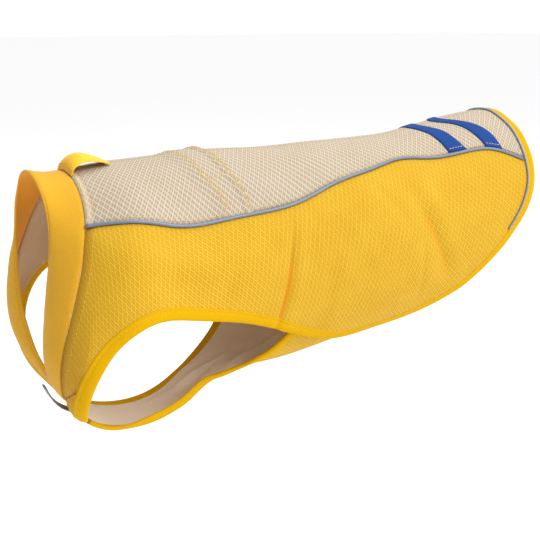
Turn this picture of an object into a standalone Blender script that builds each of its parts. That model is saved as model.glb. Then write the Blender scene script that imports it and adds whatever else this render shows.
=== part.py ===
"""Dog cooling vest, size M, filled out and hollow.

Blender 4.5. +X runs to the tail, +Y to the dog's right, +Z up. The origin is on the inner
face of the back, on the spine over the withers, where the wearer holds the vest up.
Places on the cloth are given as "along" (mm down the spine from the neck edge) and
"around" (degrees from the spine, positive down the left side, 180 at the breastbone).
"""

from collections import namedtuple

import bmesh
import bpy
import numpy as np

MM = 0.001

# Wall thicknesses and clearances, mm.
MESH_THICK = 1.2
LINING_THICK = 1.0
LAYER_GAP = 0.8
SEAM_GAP = 0.3
COLLAR_GAP = 0.5
BELLY_INSET_GAP = 1.5
REAR_LINING_GAP = 2.0
COLLAR_THICK = 2.0
BINDING_WIDTH = 10.5
BINDING_PROUD = 0.3
BINDING_INSIDE = 3.0
PIPING_RADIUS = 1.7
PIPING_RISE = 0.6
REAR_PIPING_RADIUS = 1.1
TAPE_THICK = 1.0
TAPE_END_GAP = 0.8
REAR_PIPING_GAP = 0.7
LOOP_THICK = 1.6
CHEST_TAB_THICK = 1.6

# Lengths down the spine, mm.
COLLAR_SEAM = 46.0
BELLY_REAR_EDGE = 305.0
REAR_PIPING_START = 474.0
PIPING_REAR_END = 493.0

# The belly panel slips inside the side panels between these places, by this much.
BELLY_DROP = 6.0
BELLY_DROP_START = 125.0
BELLY_DROP_END = 195.0

# The leash portal: the front back panel lies over the rear one by this much.
PORTAL_RISE = 2.0
PORTAL_RAMP = 16.0
PORTAL_REACH = 50.0

# Rounds that find where a tape across the back meets the piping.
REACH_ROUNDS = 4

# Grid counts.
COLLAR_ROWS = 5
COLLAR_COLUMNS = 44
CHEST_STEPS = 4
EDGE_STEPS = 44
REAR_HEM_STEPS = 7
SIDE_COLUMNS = 8
BACK_COLUMNS = 7
FRONT_BACK_ROWS = 9
REAR_BACK_ROWS = 20
LINING_BACK_COLUMNS = 4
BELLY_COLUMNS = 9
BELLY_EDGE_STEPS = 18
PIPING_STEPS = 30
TAPE_COLUMNS = 17
TAPE_ROWS = 3
LOOP_ROWS = 12
CHEST_TAB_ROWS = 6
STRAP_COLUMNS = 6

Section = namedtuple("Section", "along top_x top_z bottom_x bottom_z half_width egg bow")
SECTIONS = [
    Section(0, -148, 0.7, -139, -186.3, 38.5, 0.65, -10),
    Section(23, -137.3, -2.3, -138.8, -186.9, 53, 0.29, -18.5),
    Section(46, -119, -2.8, -136.5, -192.2, 75, 0.05, -20),
    Section(68, -91.5, -0.3, -118, -216.8, 100, 0.00, -15),
    Section(92, -63, 1.2, -77, -231.0, 99, 0.00, -12),
    Section(150, 0, 3.0, -11, -213.3, 86, 0.00, -4),
    Section(215, 66, 1.2, 60, -208.3, 80, 0.05, 0),
    Section(290, 140, 1.2, 138, -202.3, 79, 0.05, 0),
    Section(380, 231, 4.7, 233, -194.3, 74, 0.00, 0),
    Section(470, 320, 17.2, 324, -178.3, 71, 0.00, 0),
    Section(505, 355, 18.2, 359, -166.3, 68, 0.00, 0),
]

Pipe = namedtuple("Pipe", "along around")
PIPING_LINE = [
    Pipe(46, 48.5),
    Pipe(69, 45),
    Pipe(98, 49.5),
    Pipe(136, 53),
    Pipe(180, 53.4),
    Pipe(209, 51),
    Pipe(255, 42.7),
    Pipe(304, 37.3),
    Pipe(343, 34),
    Pipe(376, 38),
    Pipe(426, 42),
    Pipe(448, 44.5),
    Pipe(481, 54),
    Pipe(500, 61),
]

# The free edge of the left side, from the breastbone round the leg hole and up to the spine.
# piping is the place on the piping line that each row of the side panel starts from.
Edge = namedtuple("Edge", "along around piping")
FREE_EDGE = [
    Edge(63.5, 165, 46),
    Edge(62.5, 150, 48),
    Edge(62.0, 133, 50),
    Edge(62.6, 117.5, 54),
    Edge(64.5, 106, 61),
    Edge(69, 95, 68),
    Edge(81.5, 86, 81),
    Edge(107, 88, 107),
    Edge(155, 102.5, 155),
    Edge(207, 119, 207),
    Edge(272, 138, 272),
    Edge(335, 142.5, 335),
    Edge(405, 133, 402),
    Edge(441, 120, 434),
    Edge(472, 105, 459),
    Edge(497, 88.5, 482),
    Edge(507, 72, 493),
    Edge(508.3, 60, 497),
    Edge(507, 38, 497),
    Edge(504.5, 18, 497),
    Edge(505, 0, 497),
]
CHEST_SEAM_END = 3
PIPING_END = 17

# The left half of the seam between side panel and belly panel, from the collar.
Seam = namedtuple("Seam", "along around")
CHEST_SEAM_OF_SIDE = [Seam(COLLAR_SEAM + COLLAR_GAP / 2, 150), Seam(51.5, 129)]
CHEST_SEAM_OF_BELLY = [Seam(COLLAR_SEAM + COLLAR_GAP / 2, 152.5), Seam(52.0, 129.5), Seam(56.4, 119.5)]

# The free edge of the belly panel, left side, from the breastbone to the rear.
BELLY_EDGE = [
    Seam(66.5, 161.5),
    Seam(80, 163),
    Seam(110, 164),
    Seam(138, 163),
    Seam(150, 161.5),
    Seam(162, 157.5),
    Seam(175, 151),
    Seam(188, 142.5),
    Seam(200, 132),
    Seam(210, 121),
    Seam(228, 108),
    Seam(255, 100),
    Seam(BELLY_REAR_EDGE, 98),
]

# The two stitched lines of the leash portal and the edges of the two blue tapes.
Line = namedtuple(
    "Line", "around portal_seam portal_edge tape1_front tape1_rear tape2_front tape2_rear"
)
CROSS_LINES = [
    Line(0, 127, 150.5, 382, 396, 413, 426),
    Line(15, 131, 153.5, 388.5, 405, 426.5, 438),
    Line(30, 135.5, 157, 395, 412.5, 439.5, 457),
    Line(42, 142, 162, 398.5, 419, 446, 463.5),
    Line(53, 145, 164, 400, 424, 449, 467),
]

# Folds are soft troughs (negative depth) and ridges; heading is degrees from +along to the belly.
Fold = namedtuple("Fold", "side along around heading half_length half_width depth")
FOLDS = [
    Fold(1, 57, 120, 90, 50, 7.5, 7.0),
    Fold(-1, 57, 120, 90, 50, 7.5, 7.0),
    Fold(1, 236, 92, 97, 48, 7, -3.0),
    Fold(1, 246, 90, 97, 50, 9, 1.8),
    Fold(1, 92, 66, 22, 52, 12, 2.2),
    Fold(1, 105, 74, 26, 42, 10, -2.0),
    Fold(1, 346, 84, 62, 60, 11, -1.8),
    Fold(1, 208, 88, 100, 44, 8, -1.0),
    Fold(-1, 228, 90, 84, 50, 8, -2.6),
    Fold(-1, 240, 94, 86, 46, 10, 1.6),
    Fold(-1, 96, 68, 18, 50, 12, 2.0),
    Fold(-1, 110, 76, 24, 40, 10, -1.8),
    Fold(-1, 352, 80, 70, 56, 12, -1.6),
    Fold(1, 170, 168, 30, 34, 8, -1.8),
    Fold(1, 150, 178, 36, 34, 9, 1.4),
]
MM_PER_DEGREE = 1.6

# The tab over the collar seam: a bowed strap, x and z of its middle.
Strap = namedtuple("Strap", "x z half_width droop")
NECK_LOOP = [
    Strap(-119.5, -1.9, 17, 2.3),
    Strap(-117, 5.0, 17, 4.0),
    Strap(-111.5, 9.6, 16.5, 5.0),
    Strap(-104, 10.3, 15, 4.5),
    Strap(-94, 7.0, 12, 2.5),
    Strap(-84, 2.1, 9, 0.6),
]

# The small tab at the point of the V, from above the breastbone down.
CHEST_TAB = [
    Strap(-149.2, -180, 5.5, 0.4),
    Strap(-146.0, -188.5, 7, 0.6),
    Strap(-140.2, -197.5, 7, 0.6),
    Strap(-134.0, -203.2, 6.5, 0.5),
    Strap(-127.6, -207.6, 6, 0.4),
]


def spline(knots, values, places):
    """Natural cubic curve through values at knots, one column or several."""
    knots = np.asarray(knots, float)
    values = np.asarray(values, float)
    steps = np.diff(knots)
    count = len(knots)
    system = np.eye(count)
    right = np.zeros_like(values)
    slopes = np.diff(values, axis=0) / steps.reshape((-1,) + (1,) * (values.ndim - 1))
    for i in range(1, count - 1):
        system[i, i - 1] = steps[i - 1]
        system[i, i] = 2 * (steps[i - 1] + steps[i])
        system[i, i + 1] = steps[i]
        right[i] = 6 * (slopes[i] - slopes[i - 1])
    bends = np.linalg.solve(system, right)
    places = np.asarray(places, float)
    low = np.clip(np.searchsorted(knots, places) - 1, 0, count - 2)
    step = steps[low]
    after = (places - knots[low]) / step
    if values.ndim > 1:
        after = after[..., None]
        step = step[..., None]
    before = 1 - after
    bulge = (before**3 - before) * bends[low] + (after**3 - after) * bends[low + 1]
    return before * values[low] + after * values[low + 1] + bulge * step**2 / 6


def column(table, name):
    return np.array([getattr(row, name) for row in table], float)


SECTION_PLACES = column(SECTIONS, "along")
SECTION_SHAPES = np.array([row[1:] for row in SECTIONS], float)


def form(along, around):
    """Points of the smooth form, mm."""
    along, around = np.broadcast_arrays(np.asarray(along, float), np.asarray(around, float))
    shapes = spline(SECTION_PLACES, SECTION_SHAPES, along)
    top_x, top_z, bottom_x, bottom_z, half_width, egg, bow = np.moveaxis(shapes, -1, 0)
    angle = np.radians(around)
    up = np.cos(angle)
    out = np.sin(angle)
    x = (top_x + bottom_x) / 2 + (top_x - bottom_x) / 2 * up + bow * out**2 * (1 - up)
    y = -half_width * out * (1 + egg * up)
    z = (top_z + bottom_z) / 2 + (top_z - bottom_z) / 2 * up
    return np.stack([x, y, z], -1)


def directions(along, around, step=0.5):
    """Change of the form's points per mm along and per degree around."""
    per_along = form(along + step, around) - form(along - step, around)
    per_around = form(along, around + step) - form(along, around - step)
    return per_along / (2 * step), per_around / (2 * step)


def unit(vectors):
    return vectors / np.linalg.norm(vectors, axis=-1, keepdims=True)


def outward(along, around):
    per_along, per_around = directions(along, around)
    return unit(np.cross(per_around, per_along))


def fold_height(along, around):
    """Sum of the folds at each place, mm out."""
    around = (around + 180) % 360 - 180
    height = np.zeros_like(along)
    for fold in FOLDS:
        ahead = along - fold.along
        down = (around * fold.side - fold.around) * MM_PER_DEGREE
        heading = np.radians(fold.heading)
        lengthwise = (ahead * np.cos(heading) + down * np.sin(heading)) / fold.half_length
        crosswise = (down * np.cos(heading) - ahead * np.sin(heading)) / fold.half_width
        height += fold.depth * np.exp(-(lengthwise**4) - crosswise**2)
    return height


def cloth(along, around, out):
    """Points of the folded cloth, moved out by this many mm."""
    along, around = np.broadcast_arrays(np.asarray(along, float), np.asarray(around, float))
    lift = fold_height(along, around) + out
    return form(along, around) + outward(along, around) * lift[..., None]


def step_aside(along, around, distance):
    """A line on the form moved sideways by this many mm, to the spine's side if it runs to the tail."""
    points = form(along, around)
    tangents = unit(np.gradient(points, axis=0))
    sideways = np.cross(outward(along, around), tangents) * distance
    per_along, per_around = directions(along, around)
    aa = (per_along * per_along).sum(-1)
    ab = (per_along * per_around).sum(-1)
    bb = (per_around * per_around).sum(-1)
    a = (per_along * sideways).sum(-1)
    b = (per_around * sideways).sum(-1)
    span = aa * bb - ab * ab
    return along + (a * bb - b * ab) / span, around + (b * aa - a * ab) / span


def piping_around(along):
    return spline(column(PIPING_LINE, "along"), column(PIPING_LINE, "around"), along)


def cross_line(name, around):
    """Place down the spine of a line over the back, the same on both sides."""
    angles = column(CROSS_LINES, "around")
    places = column(CROSS_LINES, name)
    angles = np.concatenate([-angles[:0:-1], angles])
    places = np.concatenate([places[:0:-1], places])
    return spline(angles, places, around)


def free_edge():
    """Even samples of the left free edge: along, around and the matching place on the piping."""
    mirrored = [Edge(row.along, -row.around, row.piping) for row in FREE_EDGE[-2::-1]]
    rows = np.array(FREE_EDGE + mirrored, float)
    gaps = np.linalg.norm(np.diff(form(rows[:, 0], rows[:, 1]), axis=0), axis=1)
    places = np.concatenate([[0], np.cumsum(gaps)])
    seam_end = places[CHEST_SEAM_END]
    piping_end = places[PIPING_END]
    spine = places[len(FREE_EDGE) - 1]
    stretches = [
        np.linspace(0, seam_end, CHEST_STEPS, endpoint=False),
        np.linspace(seam_end, piping_end, EDGE_STEPS, endpoint=False),
        np.linspace(piping_end, spine, REAR_HEM_STEPS),
    ]
    samples = spline(places, rows, np.concatenate(stretches))
    return samples, CHEST_STEPS, CHEST_STEPS + EDGE_STEPS


def new_material(name, colour, roughness):
    material = bpy.data.materials.new(name)
    material.use_nodes = True
    shader = material.node_tree.nodes["Principled BSDF"]
    shader.inputs["Base Color"].default_value = (*colour, 1)
    shader.inputs["Roughness"].default_value = roughness
    return material


YELLOW_KNIT = (0.86, 0.47, 0.03)
YELLOW_MESH = (0.84, 0.45, 0.025)
YELLOW_TAPE = (0.90, 0.48, 0.01)
CREAM_MESH = (0.72, 0.62, 0.50)
LINING_GREY = (0.60, 0.56, 0.50)
PIPING_GREY = (0.28, 0.34, 0.40)
TAPE_BLUE = (0.02, 0.09, 0.42)


def add_object(name, mesh, colour, roughness=0.85):
    mesh.materials.append(new_material(name, colour, roughness))
    made = bpy.data.objects.new(name, mesh)
    bpy.data.collections["dog_cooling_vest"].objects.link(made)
    return made


def wall(name, outer, inner, colour, ring=False):
    """A closed wall between two grids of points (rows x columns x 3, mm)."""
    rows, columns = outer.shape[:2]
    shell = bmesh.new()
    bmesh.ops.create_grid(shell, x_segments=rows - 1, y_segments=columns - 1, size=1)
    row_of = shell.verts.layers.int.new("row")
    column_of = shell.verts.layers.int.new("column")
    for vertex in shell.verts:
        vertex[row_of] = round((vertex.co.x + 1) / 2 * (rows - 1))
        vertex[column_of] = round((vertex.co.y + 1) / 2 * (columns - 1))
        vertex.co = outer[vertex[row_of], vertex[column_of]] * MM
    if ring:
        bmesh.ops.remove_doubles(shell, verts=shell.verts, dist=1e-6)
    made = bmesh.ops.extrude_face_region(shell, geom=shell.faces[:], use_keep_orig=True)
    for vertex in made["geom"]:
        if isinstance(vertex, bmesh.types.BMVert):
            vertex.co = inner[vertex[row_of], vertex[column_of]] * MM
    bmesh.ops.recalc_face_normals(shell, faces=shell.faces)
    for face in shell.faces:
        face.smooth = len(face.verts) == 4
    mesh = bpy.data.meshes.new(name)
    shell.to_mesh(mesh)
    shell.free()
    made = add_object(name, mesh, colour)
    diagonals = made.modifiers.new("same_diagonals_on_every_layer", "TRIANGULATE")
    diagonals.quad_method = "SHORTEST_DIAGONAL"
    return made


def cloth_wall(name, along, around, out, inside, colour, ring=False):
    return wall(name, cloth(along, around, out), cloth(along, around, inside), colour, ring)


def tube(name, points, radius, colour):
    """A round cord through points, mm."""
    curve = bpy.data.curves.new(name, "CURVE")
    curve.dimensions = "3D"
    curve.bevel_depth = radius * MM
    curve.bevel_resolution = 1
    curve.use_fill_caps = True
    line = curve.splines.new("POLY")
    line.points.add(len(points) - 1)
    for place, point in zip(line.points, points * MM):
        place.co = (*point, 1)
    return add_object(name, curve, colour, 0.5)


def between(start, end, count):
    """Grid of values from each start to each end, count columns."""
    share = np.linspace(0, 1, count)
    return np.asarray(start)[:, None] * (1 - share) + np.asarray(end)[:, None] * share


def degrees_of(along, around, distance):
    """Degrees around that cover this many mm."""
    per_around = directions(along, around)[1]
    return distance / np.linalg.norm(per_around, axis=-1)


def make_collar():
    along = np.linspace(0, COLLAR_SEAM - COLLAR_GAP / 2, COLLAR_ROWS)[None, :]
    around = np.linspace(-180, 180, COLLAR_COLUMNS + 1)[:, None]
    cloth_wall("neck_band", along, around, 0, -COLLAR_THICK, YELLOW_KNIT, ring=True)


def side_rows():
    """The left side panel's rows: piping end and free end of each, along and around."""
    samples, first, last = free_edge()
    inset_along, inset_around = step_aside(samples[:, 0], samples[:, 1], BINDING_WIDTH + SEAM_GAP)
    chest = np.array(CHEST_SEAM_OF_SIDE, float)
    piping = np.concatenate([chest[:, 0], samples[first : last + 1, 2]])
    low_along = np.concatenate([chest[:, 0], inset_along[first : last + 1]])
    low_around = np.concatenate([chest[:, 1], inset_around[first : last + 1]])
    top_around = piping_around(piping)
    top_around = top_around + degrees_of(piping, top_around, PIPING_RADIUS + SEAM_GAP)
    return piping, top_around, low_along, low_around


def make_side(side, name):
    """A side panel; its columns run from right to left, as the lining's do."""
    piping, top_around, low_along, low_around = side_rows()
    along = between(piping, low_along, SIDE_COLUMNS)[:, ::side]
    around = between(top_around, low_around, SIDE_COLUMNS)[:, ::side] * side
    cloth_wall(name, along, around, 0, -MESH_THICK, YELLOW_MESH)


def back_grid(front_along, rear_along, rear_share, rows):
    """Rows over the back between two lines; the columns are shares of the piping's angle."""
    share = np.linspace(0, 1, rows)[:, None]
    front_share = np.linspace(-1, 1, len(rear_share))
    along = front_along * (1 - share) + rear_along * share
    part = front_share * (1 - share) + rear_share * share
    edge = piping_around(along)
    edge = edge - degrees_of(along, edge, PIPING_RADIUS + SEAM_GAP)
    return along, part * edge


def portal_lines(name):
    around = np.linspace(-1, 1, 2 * BACK_COLUMNS - 1) * PORTAL_REACH
    return cross_line(name, around)


def portal_height(along, around):
    """How far the front back panel stands off where it covers the portal."""
    seam = cross_line("portal_seam", around)
    share = np.clip((along - seam + PORTAL_RAMP) / PORTAL_RAMP, 0, 1)
    return PORTAL_RISE * share * share * (3 - 2 * share)


def make_back():
    count = 2 * BACK_COLUMNS - 1
    collar = np.full(count, COLLAR_SEAM + COLLAR_GAP / 2)
    even = np.linspace(-1, 1, count)
    along, around = back_grid(collar, portal_lines("portal_edge"), even, FRONT_BACK_ROWS)
    lift = portal_height(along, around)
    cloth_wall("back_panel_front", along, around, lift, lift - MESH_THICK, CREAM_MESH)
    rear_along, rear_share = rear_hem_columns()
    along, around = back_grid(portal_lines("portal_seam"), rear_along, rear_share, REAR_BACK_ROWS)
    cloth_wall("back_panel_rear", along, around, 0, -MESH_THICK, CREAM_MESH)


def rear_hem_columns():
    """The back panel's rear edge, right to left: along, and share of the piping's angle."""
    samples, first, last = free_edge()
    inset_along, inset_around = step_aside(samples[:, 0], samples[:, 1], BINDING_WIDTH + SEAM_GAP)
    along = inset_along[last:][::-1]
    around = inset_around[last:][::-1]
    along = np.concatenate([along[:0:-1], along])
    around = np.concatenate([-around[:0:-1], around])
    edge = piping_around(along)
    edge = edge - degrees_of(along, edge, PIPING_RADIUS + SEAM_GAP)
    return along, np.clip(around / edge, -1, 1)


def make_body_lining():
    """One sheet under both side panels and the back, spine to piping to free edge."""
    piping, top_around, low_along, low_around = side_rows()
    hem = step_aside(*free_edge()[0][:, :2].T, BINDING_WIDTH + SEAM_GAP)[0][-1]
    squeeze = (hem - REAR_LINING_GAP - COLLAR_SEAM) / (piping[-1] - COLLAR_SEAM)
    spine = COLLAR_SEAM + (piping - COLLAR_SEAM) * squeeze
    spine[0] = piping[0]
    back_along = between(spine, piping, LINING_BACK_COLUMNS)
    back_around = between(np.zeros(len(piping)), top_around, LINING_BACK_COLUMNS)
    side_along = between(piping, low_along, SIDE_COLUMNS)[:, 1:]
    side_around = between(top_around, low_around, SIDE_COLUMNS)[:, 1:]
    left_along = np.hstack([back_along, side_along])
    left_around = np.hstack([back_around, side_around])
    along = np.hstack([left_along[:, :0:-1], left_along])
    around = np.hstack([-left_around[:, :0:-1], left_around])
    out = -MESH_THICK - LAYER_GAP
    cloth_wall("body_lining", along, around, out, out - LINING_THICK, LINING_GREY)


def make_hem_binding():
    """One tape round the left leg hole, the hem, over the rear and round the right leg hole."""
    samples = free_edge()[0]
    inner_along, inner_around = step_aside(samples[:, 0], samples[:, 1], BINDING_WIDTH)
    along = np.stack([samples[:, 0], inner_along], 1)
    around = np.stack([samples[:, 1], inner_around], 1)
    around[-1] = 0
    along = np.concatenate([along, along[-2::-1]])
    around = np.concatenate([around, -around[-2::-1]])
    cloth_wall("hem_binding", along, around, BINDING_PROUD, -BINDING_INSIDE, YELLOW_TAPE)


def belly_edge():
    """Even samples of the belly panel's left free edge."""
    rows = np.array(BELLY_EDGE, float)
    gaps = np.linalg.norm(np.diff(form(rows[:, 0], rows[:, 1]), axis=0), axis=1)
    places = np.concatenate([[0], np.cumsum(gaps)])
    return spline(places, rows, np.linspace(0, places[-1], BELLY_EDGE_STEPS))


def belly_drop(along):
    """How far the belly panel lies inside the form, so that it passes under the side hems."""
    share = np.clip((along - BELLY_DROP_START) / (BELLY_DROP_END - BELLY_DROP_START), 0, 1)
    return -BELLY_DROP * share * share * (3 - 2 * share)


def belly_rows():
    """The belly panel's rows from the collar to its rear: centre and left edge."""
    samples, first, last = free_edge()
    inset_along, inset_around = step_aside(samples[:, 0], samples[:, 1], BINDING_WIDTH + BELLY_INSET_GAP)
    chest = np.array(CHEST_SEAM_OF_BELLY, float)
    edge = belly_edge()
    side_along, side_around = step_aside(edge[:, 0], edge[:, 1], -BINDING_WIDTH - SEAM_GAP)
    keep = side_along < BELLY_REAR_EDGE - BINDING_WIDTH - SEAM_GAP
    side_along = np.append(side_along[keep], BELLY_REAR_EDGE - BINDING_WIDTH - SEAM_GAP)
    side_around = np.append(side_around[keep], side_around[-1])
    edge_along = np.concatenate([chest[:, 0], inset_along[first - 1 :: -1], side_along])
    edge_around = np.concatenate([chest[:, 1], inset_around[first - 1 :: -1], side_around])
    front = len(chest) + first
    centre = edge_along.copy()
    centre[: front + 1] = np.linspace(edge_along[0], edge_along[front], front + 1)
    return centre, edge_along, edge_around


def make_belly():
    centre, edge_along, edge_around = belly_rows()
    share = np.linspace(-1, 1, BELLY_COLUMNS)
    along = centre[:, None] + (edge_along - centre)[:, None] * np.abs(share)
    around = 180 - (180 - edge_around)[:, None] * share
    drop = belly_drop(along)
    cloth_wall("belly_panel", along, around, drop, drop - MESH_THICK, YELLOW_MESH)
    deep = drop - MESH_THICK - LAYER_GAP
    cloth_wall("belly_lining", along, around, deep, deep - LINING_THICK, LINING_GREY)


def make_belly_bindings():
    edge = belly_edge()
    inner_along, inner_around = step_aside(edge[:, 0], edge[:, 1], -BINDING_WIDTH)
    along = np.stack([edge[:, 0], inner_along], 1)
    around = np.stack([edge[:, 1], inner_around], 1)
    drop = belly_drop(along)
    for side, name in ((1, "belly_binding_left"), (-1, "belly_binding_right")):
        cloth_wall(name, along, around * side, drop + BINDING_PROUD, drop - BINDING_INSIDE, YELLOW_TAPE)
    reach = inner_around[-1] + degrees_of(BELLY_REAR_EDGE, inner_around[-1], SEAM_GAP)
    around = between([reach] * 2, [360 - reach] * 2, BELLY_COLUMNS)
    along = around * 0 + np.array([[BELLY_REAR_EDGE - BINDING_WIDTH], [BELLY_REAR_EDGE]])
    drop = belly_drop(along)
    cloth_wall(
        "belly_binding_rear", along, around, drop + BINDING_PROUD, drop - BINDING_INSIDE, YELLOW_TAPE
    )


def make_piping():
    along = np.linspace(COLLAR_SEAM + 1.0, PIPING_REAR_END, PIPING_STEPS)
    around = piping_around(along)
    for side, name in ((1, "piping_left"), (-1, "piping_right")):
        tube(name, cloth(along, around * side, PIPING_RISE), PIPING_RADIUS, PIPING_GREY)
    samples = free_edge()[0]
    line = step_aside(samples[:, 0], samples[:, 1], BINDING_WIDTH + REAR_PIPING_RADIUS + REAR_PIPING_GAP)
    start = np.argmax(samples[:, 0] > REAR_PIPING_START)
    along = np.concatenate([line[0][start:], line[0][start:-1][::-1]])
    around = np.concatenate([line[1][start:], -line[1][start:-1][::-1]])
    points = cloth(along, around, REAR_PIPING_RADIUS + SEAM_GAP)
    tube("piping_rear", points, REAR_PIPING_RADIUS, PIPING_GREY)


def tape_edge(name):
    """One edge of a blue tape over the rump: along and around from piping to piping."""
    reach = 0.0
    for _ in range(REACH_ROUNDS):
        place = cross_line(name, reach)
        reach = piping_around(place)
    reach = reach - degrees_of(place, reach, PIPING_RADIUS + TAPE_END_GAP)
    around = np.linspace(-1, 1, TAPE_COLUMNS) * reach
    return cross_line(name, around), around


def make_tapes():
    """The two plain blue tapes over the rump, from piping to piping."""
    for name, front, rear in (
        ("blue_tape_front", "tape1_front", "tape1_rear"),
        ("blue_tape_rear", "tape2_front", "tape2_rear"),
    ):
        front_along, front_around = tape_edge(front)
        rear_along, rear_around = tape_edge(rear)
        along = between(front_along, rear_along, TAPE_ROWS)
        around = between(front_around, rear_around, TAPE_ROWS)
        cloth_wall(name, along, around, SEAM_GAP + TAPE_THICK, SEAM_GAP, TAPE_BLUE)


def strap_wall(name, table, thickness, rows, colour):
    """A strap bowed over its width, given by its middle line."""
    knots = np.arange(len(table), dtype=float)
    middle = spline(knots, np.array(table, float), np.linspace(0, knots[-1], rows))
    across = np.linspace(-1, 1, STRAP_COLUMNS)
    x = middle[:, 0][:, None] + across * 0
    y = middle[:, 2][:, None] * across
    z = middle[:, 1][:, None] - middle[:, 3][:, None] * across**2
    outer = np.stack([x, y, z], -1)
    down_strap = np.gradient(outer, axis=0)
    over_strap = np.gradient(outer, axis=1)
    normal = unit(np.cross(down_strap, over_strap))
    wall(name, outer, outer - normal * thickness, colour)


def make_neck_loop():
    strap_wall("neck_loop", NECK_LOOP, LOOP_THICK, LOOP_ROWS, YELLOW_KNIT)


def make_chest_tab():
    strap_wall("chest_tab", CHEST_TAB, CHEST_TAB_THICK, CHEST_TAB_ROWS, PIPING_GREY)


def clear_scene():
    for old in list(bpy.data.objects):
        bpy.data.objects.remove(old, do_unlink=True)


def main():
    clear_scene()
    vest = bpy.data.collections.new("dog_cooling_vest")
    bpy.context.scene.collection.children.link(vest)
    make_collar()
    make_side(1, "side_panel_left")
    make_side(-1, "side_panel_right")
    make_back()
    make_body_lining()
    make_hem_binding()
    make_belly()
    make_belly_bindings()
    make_piping()
    make_tapes()
    make_neck_loop()
    make_chest_tab()


main()
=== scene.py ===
"""Looks of the dog cooling vest: mesh panels, felt collar, bindings, piping, tapes, lining, stitches.

Blender 4.5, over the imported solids. +X runs to the tail, +Y to the dog's right, +Z up.
Places on the cloth are given as "along" (mm down the spine from the neck edge) and
"around" (degrees from the spine, positive down the left side, 180 at the breastbone).
"""

import math
from collections import namedtuple

import bmesh
import bpy
import numpy as np
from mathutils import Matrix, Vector


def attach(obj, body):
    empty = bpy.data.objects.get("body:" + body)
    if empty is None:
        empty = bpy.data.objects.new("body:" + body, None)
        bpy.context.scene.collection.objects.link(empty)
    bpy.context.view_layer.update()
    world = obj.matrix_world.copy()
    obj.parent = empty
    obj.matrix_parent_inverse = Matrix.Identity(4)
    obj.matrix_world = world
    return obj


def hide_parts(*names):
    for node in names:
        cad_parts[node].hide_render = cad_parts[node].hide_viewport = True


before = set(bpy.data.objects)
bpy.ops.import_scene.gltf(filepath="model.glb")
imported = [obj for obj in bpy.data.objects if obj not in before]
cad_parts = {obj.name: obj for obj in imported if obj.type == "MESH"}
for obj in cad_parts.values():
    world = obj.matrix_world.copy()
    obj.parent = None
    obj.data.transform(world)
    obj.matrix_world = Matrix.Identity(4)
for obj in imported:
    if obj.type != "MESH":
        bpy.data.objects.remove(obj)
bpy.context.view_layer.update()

MM = 0.001

# Wall thicknesses and heights, mm.
MESH_THICK = 1.2
LINING_THICK = 1.0
LAYER_GAP = 0.8
COLLAR_THICK = 2.0
BINDING_WIDTH = 10.5
PANEL_TUCK = 4.0
PIPING_TUCK = 1.2
PIPING_RADIUS = 1.7
PIPING_RISE = 0.6
CORD_RADIUS = 1.45
REAR_PIPING_RADIUS = 1.1
REAR_PIPING_GAP = 0.7
TAPE_THICK = 1.0
TAPE_END_GAP = 0.8
TAPE_REST = 0.2
LOOP_THICK = 1.6
CHEST_TAB_THICK = 1.6

# Lengths down the spine, mm.
COLLAR_SEAM = 46.0
BELLY_REAR_EDGE = 305.0
REAR_PIPING_START = 474.0
PIPING_REAR_END = 493.0

# The belly panel slips inside the side panels between these places, by this much.
BELLY_DROP = 6.0
BELLY_DROP_START = 125.0
BELLY_DROP_END = 195.0

# The strip between the front legs curls up at its free edges, more on the left, between these places.
BELLY_CURL_LEFT = 6.0
BELLY_CURL_RIGHT = 0.8
BELLY_CURL_FROM = 76.0
BELLY_CURL_FULL = 105.0
BELLY_CURL_START = 140.0
BELLY_CURL_END = 185.0

# The leash portal: the front back panel lies over the rear one by this much.
PORTAL_RISE = 2.0
PORTAL_RAMP = 16.0
PORTAL_REACH = 50.0

# Rounds that find where a tape across the back meets the piping.
REACH_ROUNDS = 4

# Stitches: real thread on every seam, mm.
STITCH_PITCH = 3.4
STITCH_LENGTH = 2.5
STITCH_RADIUS = 0.42
STITCH_SINK = 0.12

# Grid counts.
CHEST_STEPS = 14
EDGE_STEPS = 400
REAR_HEM_STEPS = 31
SIDE_COLUMNS = 60
BACK_COLUMNS = 31
FRONT_BACK_ROWS = 110
REAR_BACK_ROWS = 170
LINING_BACK_COLUMNS = 14
LINING_SIDE_COLUMNS = 28
BELLY_COLUMNS = 97
BELLY_EDGE_STEPS = 110
COLLAR_COLUMNS = 300
PIPING_STEPS = 240
PIPING_SIDES = 12
TAPE_COLUMNS = 61
TAPE_ROWS = 9
LOOP_ROWS = 44
LOOP_STITCH_ROWS = (3, 6)
CHEST_TAB_ROWS = 22
STRAP_COLUMNS = 15
GRAIN_STEPS = 12

# Marks on the points: where the lattice shows less and painted shade darkens the cloth, where painted shade deepens
# a crease, and the collar's inner face, painted as in shade.
BLUR_AND_SHADE_MARK = "blur_and_shade"
CREASE_SHADE_MARK = "crease_shade"
INNER_SHADE_MARK = "inner_face_shade"

# The mesh's grain follows the flank between these places, mm, and opens out to the rear by this much.
GRAIN_START = 40.0
GRAIN_END = 512.0
GRAIN_SAMPLES = 240
GRAIN_EASE = 0.0002
GRAIN_EASE_START = 130.0

# The side panel's grain turns and closes up behind the collar, over this way from it.
FRONT_TURN_END = 95.0
FRONT_TURN_WAY = 0.005
FRONT_TURN_GIRTH = 0.007

# The side panel's grain line: degrees round at the front, and how it sinks to the rear.
SIDE_GRAIN = 90.0
SIDE_GRAIN_SINK = 0.1
SIDE_GRAIN_FROM = 180.0
SIDE_GRAIN_TO = 350.0

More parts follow.
